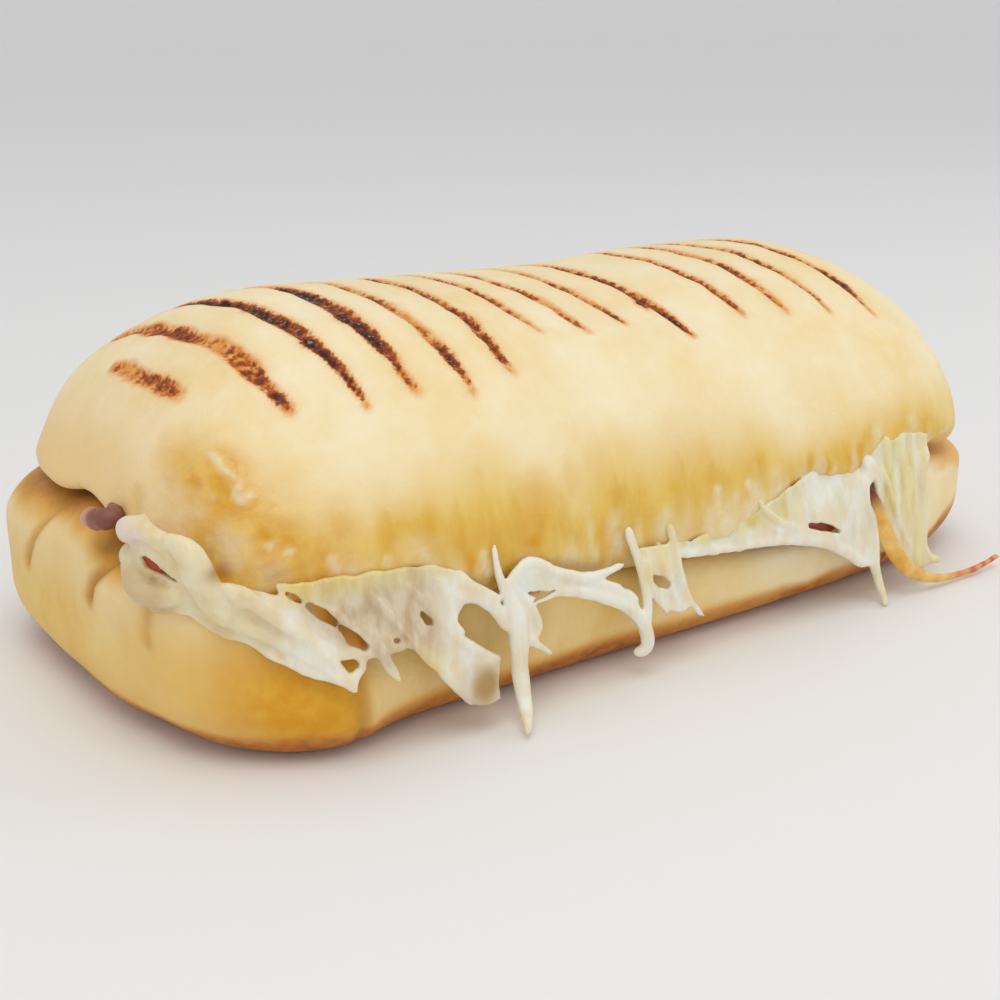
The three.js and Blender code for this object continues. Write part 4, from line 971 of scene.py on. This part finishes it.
def melted_cheese_mesh():
    field = CheeseField()
    for half, *edge in SHEETS:
        field.sheet(edge, half)
    for flat, *path in STRANDS:
        field.strand(slid_back(path), flat)
    field.strand(bead_path(), 1.0)
    for hole in HOLES:
        field.hole(hole)
    near = field.values < 1.0
    spots = np.stack([values[near] for values in np.meshgrid(*field.axes, indexing="ij")], -1)
    field.values[near] += 0.16 * noise(spots, (1.7, 2.0, 5.0), 61) + 0.06 * noise(spots, (1.0, 1.1, 2.2), 62)
    grid = vdb.FloatGrid()
    grid.background = FAR
    grid.copyFromArray(field.values.astype(np.float32))
    corners, _, quads = grid.convertToPolygons(isovalue=0.0, adaptivity=0.0)
    places = np.array([axis[0] for axis in field.axes]) + corners * CHEESE_VOXEL
    return relaxed(places, quads), quads[:, ::-1]


def relaxed(points, quads):
    """Points drawn towards the middle of their neighbours, then pushed back part of the way, twice over."""
    edges = np.concatenate([quads[:, [k, (k + 1) % 4]] for k in range(4)])
    count = np.maximum(np.bincount(edges.ravel(), minlength=len(points)), 1)[:, None]
    for strength in (DRAW_IN, PUSH_BACK, DRAW_IN, PUSH_BACK):
        total = np.zeros_like(points)
        for a, b in (edges.T, edges.T[::-1]):
            for axis in range(3):
                total[:, axis] += np.bincount(a, points[b, axis], len(points))
        points = points + strength * (total / count - points)
    return points


# Materials
def srgb(red, green, blue):
    """A linear colour from the usual 0 to 255 values."""
    def linear(value):
        value /= 255
        return value / 12.92 if value <= 0.04045 else ((value + 0.055) / 1.055) ** 2.4

    return (linear(red), linear(green), linear(blue), 1.0)


# The colour sockets of a mix node, which share their names with its other sockets
MIX_COLOUR_A = 6
MIX_COLOUR_B = 7
MIX_RESULT = 2
SCATTER_COLOUR = (1.0, 0.6, 0.35)


class Look:
    """Nodes of one material. Colours are sockets, or red, green and blue from 0 to 255."""

    def __init__(self, name, roughness):
        self.material = bpy.data.materials.new(name)
        self.material.use_nodes = True
        self.nodes = self.material.node_tree.nodes
        self.links = self.material.node_tree.links
        self.shader = self.nodes["Principled BSDF"]
        self.shader.inputs["Roughness"].default_value = roughness
        self.place = self.nodes.new("ShaderNodeTexCoord").outputs["Object"]

    def feed(self, value, socket):
        if isinstance(value, bpy.types.NodeSocket):
            self.links.new(value, socket)
        else:
            socket.default_value = srgb(*value) if isinstance(value, tuple) else value

    def mask(self, name):
        node = self.nodes.new("ShaderNodeAttribute")
        node.attribute_name = name
        return node.outputs["Fac"]

    def noise(self, size_mm, stretch=(1, 1, 1), detail=3.0):
        """Noise with lumps of about size_mm, longer by stretch along each axis."""
        mapping = self.nodes.new("ShaderNodeMapping")
        mapping.inputs["Scale"].default_value = [1 / (size_mm * MM * share) for share in stretch]
        self.links.new(self.place, mapping.inputs["Vector"])
        node = self.nodes.new("ShaderNodeTexNoise")
        node.inputs["Scale"].default_value = 1.0
        node.inputs["Detail"].default_value = detail
        node.inputs["Roughness"].default_value = 0.55
        self.links.new(mapping.outputs["Vector"], node.inputs["Vector"])
        return node.outputs["Fac"]

    def span(self, value, low, high, to_low=0.0, to_high=1.0):
        """Value taken from low..high to to_low..to_high, held at the ends."""
        node = self.nodes.new("ShaderNodeMapRange")
        for name, level in (("From Min", low), ("From Max", high), ("To Min", to_low), ("To Max", to_high)):
            node.inputs[name].default_value = level
        self.links.new(value, node.inputs["Value"])
        return node.outputs["Result"]

    def math(self, kind, a, b):
        node = self.nodes.new("ShaderNodeMath")
        node.operation = kind
        self.feed(a, node.inputs[0])
        self.feed(b, node.inputs[1])
        return node.outputs["Value"]

    def blend(self, share, a, b):
        node = self.nodes.new("ShaderNodeMix")
        node.data_type = "RGBA"
        self.feed(share, node.inputs["Factor"])
        self.feed(a, node.inputs[MIX_COLOUR_A])
        self.feed(b, node.inputs[MIX_COLOUR_B])
        return node.outputs[MIX_RESULT]

    def mottle(self, size_mm, low, high, a, b, stretch=(1, 1, 1)):
        """Lumps of two colours: a where the noise is under low, and b where it is over high."""
        return self.blend(self.span(self.noise(size_mm, stretch), low, high), a, b)

    def coat(self, share, colour):
        """Lays a colour over the ones before. Share is a socket or the name of a mask."""
        share = self.mask(share) if isinstance(share, str) else share
        self.colour = self.blend(share, self.colour, colour)

    def finish(self, height, depth_mm, glow, glow_mm):
        """The surface with its colour, its bumps and light scattered under it."""
        self.links.new(self.colour, self.shader.inputs["Base Color"])
        node = self.nodes.new("ShaderNodeBump")
        node.inputs["Strength"].default_value = 1.0
        node.inputs["Distance"].default_value = depth_mm * MM
        self.links.new(height, node.inputs["Height"])
        self.links.new(node.outputs["Normal"], self.shader.inputs["Normal"])
        self.shader.inputs["Subsurface Weight"].default_value = glow
        self.shader.inputs["Subsurface Radius"].default_value = SCATTER_COLOUR
        self.shader.inputs["Subsurface Scale"].default_value = glow_mm * MM
        return self.material


def paint_bread(look):
    """Pale crumbly crust, golden and butter-brown where the masks say, with painted shade in the tan, amber
    and brown masks.
    """
    look.colour = look.mottle(18, 0.35, 0.7, (253, 237, 198), (248, 222, 164))
    look.coat(look.span(look.noise(3.5), 0.5, 0.8, 0, 0.4), (254, 242, 210))
    # Tan is partly a painted shading tone of the left end
    look.coat("tan", (243, 204, 136))
    yellow = look.mottle(6, 0.3, 0.72, (230, 182, 68), (239, 206, 112), (1.1, 2, 2.6))
    look.coat(look.span(look.mask("golden"), 0.05, 0.8), yellow)
    deep = look.math("ADD", look.mask("golden"), look.span(look.noise(4.2, (1, 2, 3)), 0.3, 0.7, -0.3, 0.3))
    look.coat(look.span(deep, 0.72, 1.3, 0, 0.65), (214, 160, 42))
    wet = look.span(look.mask("oily"), 0, 1, 0.3, 1)
    drops = look.math("MULTIPLY", look.span(look.noise(3.4), 0.38, 0.66), wet)
    # Amber is butter and toasting, and also painted shade in folds and under the lip at the left
    look.coat("amber", look.blend(drops, (222, 156, 20), (237, 188, 60)))
    # Brown is browned crust at the base, and also painted shade: at the base, in folds, under the lip and in
    # the shadow spots
    look.coat("brown", look.mottle(5, 0.35, 0.65, (112, 44, 2), (172, 88, 8)))


def paint_grill_marks(look):
    """Toasted edges, burnt cores with rough specks, and a little pale ash."""
    ragged = look.math("MULTIPLY", look.mask("toast"), look.span(look.noise(1.9), 0.35, 0.65, 0.65, 1.15))
    toast = look.mottle(2.0, 0.35, 0.7, (224, 132, 34), (238, 172, 84))
    look.coat(look.span(ragged, 0.02, 0.9, 0, 0.92), toast)
    speck = look.span(look.noise(1.3, detail=4.0), 0.3, 0.7, -0.34, 0.3)
    speck = look.math("MULTIPLY", speck, look.span(look.mask("char"), 0.02, 0.25))
    char = look.math("ADD", look.mask("char"), speck)
    burn = look.nodes.new("ShaderNodeValToRGB")
    stops = burn.color_ramp.elements
    stops[0].position, stops[0].color = 0.2, srgb(206, 110, 24)
    stops[1].position, stops[1].color = 0.82, srgb(52, 20, 12)
    stops.new(0.5).color = srgb(140, 60, 14)
    look.links.new(char, burn.inputs["Fac"])
    look.coat(look.span(char, 0.1, 0.3), burn.outputs["Color"])
    flecks = look.span(look.noise(0.8, detail=2.0), 0.6, 0.68)
    ash = look.math("MULTIPLY", flecks, look.span(look.mask("char"), 0.3, 0.6, 0, 0.6))
    look.coat(ash, (196, 176, 162))


def crust_material():
    look = Look("bread_crust", 0.55)
    paint_bread(look)
    paint_grill_marks(look)
    # Cream of the cheese smears, also the colour of the painted highlights on the wet corner
    cream_and_highlight = look.mottle(3.4, 0.35, 0.65, (245, 235, 206), (238, 218, 168))
    look.coat(look.span(look.mask("smear_and_highlight"), 0.0, 1.0, 0, 0.9), cream_and_highlight)
    wet = look.math("MAXIMUM", look.mask("oily"), look.mask("smear_and_highlight"))
    uneven = look.span(look.noise(1.5), 0.3, 0.7, -0.05, 0.08)
    look.feed(look.math("ADD", look.span(wet, 0.1, 0.8, 0.56, 0.15), uneven), look.shader.inputs["Roughness"])
    look.shader.inputs["Specular IOR Level"].default_value = 0.35
    crumbs = look.math("MULTIPLY", look.noise(0.7), look.span(look.mask("char"), 0.1, 0.5, 0, 3))
    height = look.math("ADD", look.noise(1.1, detail=4.0), look.math("MULTIPLY", look.noise(4.0), 1.5))
    return look.finish(look.math("ADD", height, crumbs), depth_mm=0.14, glow=0.12, glow_mm=2.0)


def cheese_material():
    look = Look("melted_cheese", 0.36)
    drawn = (1, 1, 2.4)
    look.colour = look.mottle(3.4, 0.38, 0.64, (242, 239, 226), (236, 222, 192), drawn)
    look.coat("thin", look.mottle(2.6, 0.38, 0.66, (224, 208, 178), (198, 174, 136), drawn))
    look.coat("mass", look.mottle(4.5, 0.38, 0.64, (236, 226, 190), (228, 206, 158)))
    look.coat("butter", look.mottle(2.4, 0.38, 0.64, (236, 222, 160), (226, 200, 116), (1, 1, 4)))
    # Tan is partly painted shade: the dip under the slit and beside the corner mass under the lip
    look.coat("tan", (184, 148, 92))
    look.coat("pink", (240, 218, 212))
    look.coat("amber", (236, 166, 62))
    return look.finish(look.noise(1.2, (1, 1, 2.6)), depth_mm=0.2, glow=0.4, glow_mm=2.0)


def ham_material():
    look = Look("cooked_ham", 0.38)
    look.colour = look.mottle(3, 0.35, 0.65, (206, 146, 118), (226, 178, 154), (2, 1, 1))
    look.coat("dark", (176, 58, 36))
    look.coat("brown", (104, 40, 24))
    return look.finish(look.noise(1.0, (3, 1, 1)), depth_mm=0.2, glow=0.2, glow_mm=2.0)


def strip_material():
    look = Look("ham_edge", 0.3)
    look.colour = look.mottle(4.0, 0.35, 0.65, (228, 164, 56), (240, 204, 118))
    look.coat("dark", (120, 38, 14))
    look.coat("red", (214, 92, 70))
    return look.finish(look.noise(0.8), depth_mm=0.12, glow=0.2, glow_mm=1.5)


# The pieces
def make_bread(name, node, material, rings, masks, centres):
    """Half of the roll from its rings and the points that close the first ring and the last. Where the last
    ring closes on itself there is only the one for the first."""
    points = np.vstack([rings.reshape(-1, 3), centres])
    numbers = range(len(points) - len(centres), len(points))
    masks = {mask: np.append(values, [0] * len(centres)) for mask, values in masks.items()}
    return new_piece(name, points, ring_faces(len(rings), *numbers), material, node, masks)


def make_bread_top(material):
    rings = top_rings()
    relief, masks = crust_relief_top(rings)
    rings = pushed_out(rings, relief)
    rings[-1] = (rings[-1] + rings[-1][-np.arange(COLUMNS)]) / 2
    centre = (CUT["x"], CUT["y"], top_cut_height(CUT["x"], CUT["y"]))
    drop_loose(make_bread("bread_top_crust", "bread_top", material, rings, masks, [centre]))


def make_bread_bottom(material):
    rings = bottom_rings()
    relief, masks = crust_relief_bottom(rings)
    centre = (CUT["x"], CUT["y"], bottom_cut_height(CUT["x"], CUT["y"]))
    rings = pushed_out(rings, relief)
    make_bread("bread_bottom_crust", "bread_bottom", material, rings, masks, [(0, 0, 0), centre])


def drop_loose(piece):
    """Removes points that no face uses."""
    build = bmesh.new()
    build.from_mesh(piece.data)
    bmesh.ops.delete(build, geom=[v for v in build.verts if not v.link_faces], context="VERTS")
    build.to_mesh(piece.data)
    build.free()


# Buttery yellow in the cheese: strength, the places along the front where it starts, is full, is full still
# and ends, and the heights where it starts and is full
BUTTER = (
    (0.8, (47, 52, 200, 210), (-2, -1)),
    (0.9, (-8, -4, 24, 28), (22.4, 25)),
    (0.6, (-18, -14, -6, -2), (17, 21)),
    (0.7, (-70, -64, -60, -54), (21, 16)),
    (0.9, (-86, -82, -54, -48), (28.5, 32)),
)


def cheese_masks(along, out, height):
    """Painting masks of the melted cheese, from its places on the rolled-out front."""
    spots = np.stack([along, 0 * along, height], -1)
    thin = ramp(-2, 2, along + 84 - 0.75 * (33 - height)) * ramp(-55, -62, along) * ramp(13, 20, height)
    thin_foot = 0.6 * band(-58, -54, -47, -44, along) * ramp(16, 12, height)
    butter = [strength * band(*stretch, along) * ramp(*rise, height) for strength, stretch, rise in BUTTER]
    low_left = 0.5 * ramp(-97, -102, along) * ramp(38, 34, height)
    chunk = ramp(4.8, 1.2, np.hypot((along + 49.6) * 1.1, height - 9.2))
    # Painted shade on the cheese: a dip below the slit, and under the lip beside the corner mass
    left_painted_shade = 0.8 * hill(0, 1.4, np.hypot(along + 102.4, height - 33.8))
    right_painted_shade = hill(0, 1.5, np.hypot(along + 92.2, height - 36.4))
    behind_web = band(-86, -83, -69, -66, along) * ramp(2.75, 2.4, out) * ramp(20, 22, height)
    return {
        "thin": np.maximum(thin, thin_foot),
        "mass": ramp(-80, -90, along),
        "butter": np.clip(np.maximum.reduce(butter) * (0.7 + 0.5 * noise(spots, (2, 9, 12), 81)), 0, 1),
        "tan": np.maximum.reduce([low_left, chunk, left_painted_shade, right_painted_shade]),
        "pink": 0.7 * ramp(3.6, 1.6, np.hypot((along + 106.2) * 0.8, height - 41.2)),
        "amber": behind_web,
    }


def make_cheese(material):
    places, quads = melted_cheese_mesh()
    along, out, height = places.T
    points = rolled_point(along, out, height)
    new_piece("melted_cheese", points, quads.tolist(), material, "cheese", cheese_masks(along, out, height))


def layer_mesh(limit, low_at, high_at):
    """A layer on the cut, out to the limit, between two heights."""
    reaches = [reach for reach in CUT_REACHES if reach < limit] + [limit]
    low = [cut_ring(reach, low_at) for reach in reaches]
    high = [cut_ring(reach, high_at) for reach in reaches[::-1]]
    rings = np.array(low + high)
    centres = [(CUT["x"], CUT["y"], at(CUT["x"], CUT["y"])) for at in (low_at, high_at)]
    points = np.vstack([rings.reshape(-1, 3), centres])
    return points, ring_faces(len(rings), len(points) - 2, len(points) - 1)


def make_layers(cheese, ham):
    """The filling inside the roll: a slice of ham, and cheese that fills the rest of the gap over it."""
    def ham_low(x, y):
        return bottom_cut_height(x, y) + FIT_GAP

    def ham_high(x, y):
        return ham_low(x, y) + HAM_THICKNESS

    def cheese_low(x, y):
        over = (HAM_THICKNESS + FIT_GAP) * ramp(0.9, 0.85, cut_place(x, y)[0])
        return bottom_cut_height(x, y) + 0.1 + over

    def cheese_high(x, y):
        return top_cut_height(x, y) - 0.1

    new_piece("ham_slice", *layer_mesh(HAM_REACH, ham_low, ham_high), ham, "ham", {"dark": 0.2, "brown": 0})
    masks = {"thin": 0, "mass": 0.5, "butter": 0, "tan": 0.5, "pink": 0, "amber": 0}
    new_piece("cheese_layer", *layer_mesh(CHEESE_REACH, cheese_low, cheese_high), cheese, "cheese", masks)


# Ham flaps that show at the front: name, left and right side, top and foot, how far out, thickness, darkness
HAM_FLAPS = (
    ("ham_flap_corner", -106.0, -97.6, 38.5, 33.0, 0.1, 1.0, 1.0),
    ("ham_flap_trunk", -43.0, -37.0, 27.0, 22.6, 3.6, 0.9, 0.3),
    ("ham_flap_right", 26.5, 41.0, 24.0, 17.4, 2.9, 0.9, 0.9),
)
FLAP_COLUMNS = 40
FLAP_ROWS = 16
FLAP_ROOT = -4.0

# The rolled edge at the left corner and the thin edge that hangs out at the right: places with a radius
HAM_ROLL = (
    (-95, -12, 38.6, 0.9), (-96.4, -16, 39, 1.4), (-98.6, -20.6, 39.4, 1.7), (-99.8, -21.8, 39.6, 1.8),
    (-100.8, -19.6, 39, 1.9), (-101, -16.8, 38.6, 1.7), (-100.6, -14.8, 38.3, 1.2),
)
HAM_STRIP = (
    (43.4, -48.5, 27.6, 1.1), (45.6, -53.4, 25.6, 1.5), (47.6, -55.6, 21.8, 1.7), (50.4, -56.4, 16.4, 1.8),
    (53.8, -57.1, 10.8, 1.8), (58.2, -57.9, 6.2, 1.5), (64, -58.3, 3.3, 1.1), (70, -58.3, 2, 0.8),
    (78, -58.2, 1.6, 0.65), (84, -57.9, 2, 0.6), (88, -57.6, 2.6, 0.4),
)
STRIP_THICKNESS = 1.1


def make_ham_flap(material, name, left, right, top, foot, out, thick, dark):
    """A thin flap of ham with a wavy edge, rooted in the gap."""
    side = np.linspace(-1, 1, FLAP_COLUMNS)[:, None]
    share = np.linspace(0, 1, FLAP_ROWS)[None, :]
    along = mix(left, right, (side + 1) / 2)
    spots = np.stack(np.broadcast_arrays(along, share * 10, 0 * along), -1)
    reach = mix(FLAP_ROOT, out, ramp(0, 0.35, share)) + 0.3 * noise(spots, 3, 71)
    hem = foot + 0.9 * noise(np.stack([along, 0 * along, 0 * along], -1), 3.5, 72)
    height = mix(top, hem, ramp(0.1, 1, share))
    half = 0.5 * thick * np.sqrt(np.clip(1 - (2 * np.abs(share - 0.5)) ** 6, 0.05, 1))
    half = half * np.sqrt(np.clip(1 - np.abs(side) ** 8, 0.05, 1))
    sides = [rolled_point(along + 0 * share, reach + push, height).reshape(-1, 3) for push in (half, -half)]
    faces = slab_faces(FLAP_COLUMNS, FLAP_ROWS)
    new_piece(name, np.vstack(sides), faces, material, "ham", {"dark": dark, "brown": 0})


def slab_faces(columns, rows):
    """Faces of a closed slab from two grids of points, the outer one first."""
    def quads(a, b, c, d):
        return np.stack([part.ravel() for part in (a, b, c, d)], -1).tolist()

    outer, inner = np.arange(2 * columns * rows).reshape(2, columns, rows)
    faces = quads(outer[:-1, :-1], outer[:-1, 1:], outer[1:, 1:], outer[1:, :-1])
    faces += quads(inner[:-1, :-1], inner[1:, :-1], inner[1:, 1:], inner[:-1, 1:])
    for rim in (np.s_[:, 0], np.s_[::-1, -1], np.s_[0, ::-1], np.s_[-1, :]):
        a, b = outer[rim], inner[rim]
        faces += quads(a[:-1], a[1:], b[1:], b[:-1])
    return faces


def tube_mesh(path, radii, widths, sides):
    """A closed tube along a path. Each ring is widths across by radii thick."""
    tangent = np.gradient(path, axis=0)
    tangent /= np.linalg.norm(tangent, axis=1, keepdims=True)
    outward = np.cross(tangent, [0, 0, 1.0])
    outward /= np.maximum(np.linalg.norm(outward, axis=1, keepdims=True), 1e-6)
    across = np.cross(outward, tangent)
    turn = np.linspace(0, 2 * math.pi, sides, endpoint=False)
    rings = (path[:, None] + outward[:, None] * (radii[:, None] * np.cos(turn))[..., None]
             + across[:, None] * (widths[:, None] * np.sin(turn))[..., None])
    grid = np.arange(len(path) * sides).reshape(-1, sides)
    return rings.reshape(-1, 3), tube_faces(grid) + [grid[0, ::-1].tolist(), grid[-1].tolist()]


def make_ham_strip(material):
    sides = 16
    path = smooth_path(HAM_STRIP, 6)
    share = np.linspace(0, 1, len(path))
    thick = STRIP_THICKNESS / 2 * (1 + 0.2 * np.sin(share * 40))
    points, faces = tube_mesh(path[:, :3], thick, path[:, 3] * 1.05, sides)
    share = np.repeat(share, sides)
    broken = 0.65 + 0.6 * np.sin(share * 95)
    red = np.clip(ramp(0.68, 0.8, share) * broken, 0, 1) * (1 - 0.7 * ramp(0.95, 1, share))
    masks = {"dark": ramp(0.26, 0.14, share), "red": red}
    new_piece("ham_strip_edge", points, faces, material, "ham_strip", masks)


def make_ham_roll(material):
    sides = 24
    path = smooth_path(HAM_ROLL, 6)
    radii = path[:, 3] * (1 + 0.08 * np.sin(np.arange(len(path)) * 1.3))
    radii[-3:] *= (0.9, 0.7, 0.35)
    points, faces = tube_mesh(path[:, :3], radii, radii * 0.95, sides)
    share = np.repeat(np.linspace(0, 1, len(path)), sides)
    masks = {"dark": 0.15, "brown": 0.8 * ramp(0.85, 0.62, share)}
    new_piece("ham_roll", points, faces, material, "ham", masks)


# Floor, lights and camera, in metres and degrees
FLOOR_HALF = 14.0
BACKDROP_START = 3.0
BACKDROP_RADIUS = 2.0
BACKDROP_TOP = 6.0
FLOOR_COLOUR = (0.9, 0.9, 0.9, 1)
LIT_PLACE = (0, 0, 0.03)
SKY_STRENGTH = 0.68
CAMERA_AZIMUTH = -36.1
CAMERA_ELEVATION = 18.3
CAMERA_DISTANCE = 0.3155
CAMERA_TARGET = (-0.0075, -0.0023, 0.0195)
CAMERA_LENS = 54.0
CAMERA_SENSOR = 36.0


def make_stage():
    """A pale floor that turns up into a backdrop far behind."""
    profile = [(-FLOOR_HALF, 0.0), (BACKDROP_START, 0.0)]
    for turn in np.linspace(0.1, math.pi / 2, 12):
        behind = BACKDROP_START + BACKDROP_RADIUS * math.sin(turn)
        profile.append((behind, BACKDROP_RADIUS * (1 - math.cos(turn))))
    profile.append((BACKDROP_START + BACKDROP_RADIUS, BACKDROP_TOP))
    points = [(x, y, z) for y, z in profile for x in (-FLOOR_HALF, FLOOR_HALF)]
    faces = [(2 * i, 2 * i + 1, 2 * i + 3, 2 * i + 2) for i in range(len(profile) - 1)]
    mesh = bpy.data.meshes.new("floor")
    mesh.from_pydata(points, [], faces)
    mesh.shade_smooth()
    look = Look("floor_paper", 0.7)
    look.shader.inputs["Base Color"].default_value = FLOOR_COLOUR
    mesh.materials.append(look.material)
    floor = bpy.data.objects.new("floor", mesh)
    bpy.context.collection.objects.link(floor)


def area_light(name, place, size, watts, colour=(1, 1, 1)):
    """A round soft light that faces the object."""
    light = bpy.data.lights.new(name, "AREA")
    light.shape = "DISK"
    light.size = size
    light.energy = watts
    light.color = colour
    lamp = bpy.data.objects.new(name, light)
    lamp.location = place
    lamp.rotation_euler = (Vector(LIT_PLACE) - Vector(place)).to_track_quat("-Z", "Y").to_euler()
    bpy.context.collection.objects.link(lamp)


def make_lights():
    area_light("key", place=(-0.25, -0.35, 0.85), size=0.6, watts=2.1, colour=(1.0, 0.985, 0.96))
    area_light("side", place=(0.75, -0.35, 0.45), size=0.5, watts=0.7)
    world = bpy.data.worlds.new("studio")
    world.use_nodes = True
    world.node_tree.nodes["Background"].inputs["Color"].default_value = (1, 1, 1, 1)
    world.node_tree.nodes["Background"].inputs["Strength"].default_value = SKY_STRENGTH
    bpy.context.scene.world = world
    bpy.context.scene.view_settings.view_transform = "Standard"


def make_camera():
    turn = math.radians(CAMERA_AZIMUTH)
    rise = math.radians(CAMERA_ELEVATION)
    back = Vector((math.sin(turn) * math.cos(rise), -math.cos(turn) * math.cos(rise), math.sin(rise)))
    data = bpy.data.cameras.new("camera")
    data.lens = CAMERA_LENS
    data.sensor_width = CAMERA_SENSOR
    data.clip_start = 0.01
    camera = bpy.data.objects.new("camera", data)
    camera.location = Vector(CAMERA_TARGET) + back * CAMERA_DISTANCE
    camera.rotation_euler = back.to_track_quat("Z", "Y").to_euler()
    bpy.context.collection.objects.link(camera)
    bpy.context.scene.camera = camera


crust = crust_material()
cheese = cheese_material()
ham = ham_material()
make_bread_top(crust)
make_bread_bottom(crust)
make_layers(cheese, ham)
make_cheese(cheese)
make_ham_roll(ham)
for flap in HAM_FLAPS:
    make_ham_flap(ham, *flap)
make_ham_strip(strip_material())
make_stage()
make_lights()
make_camera()
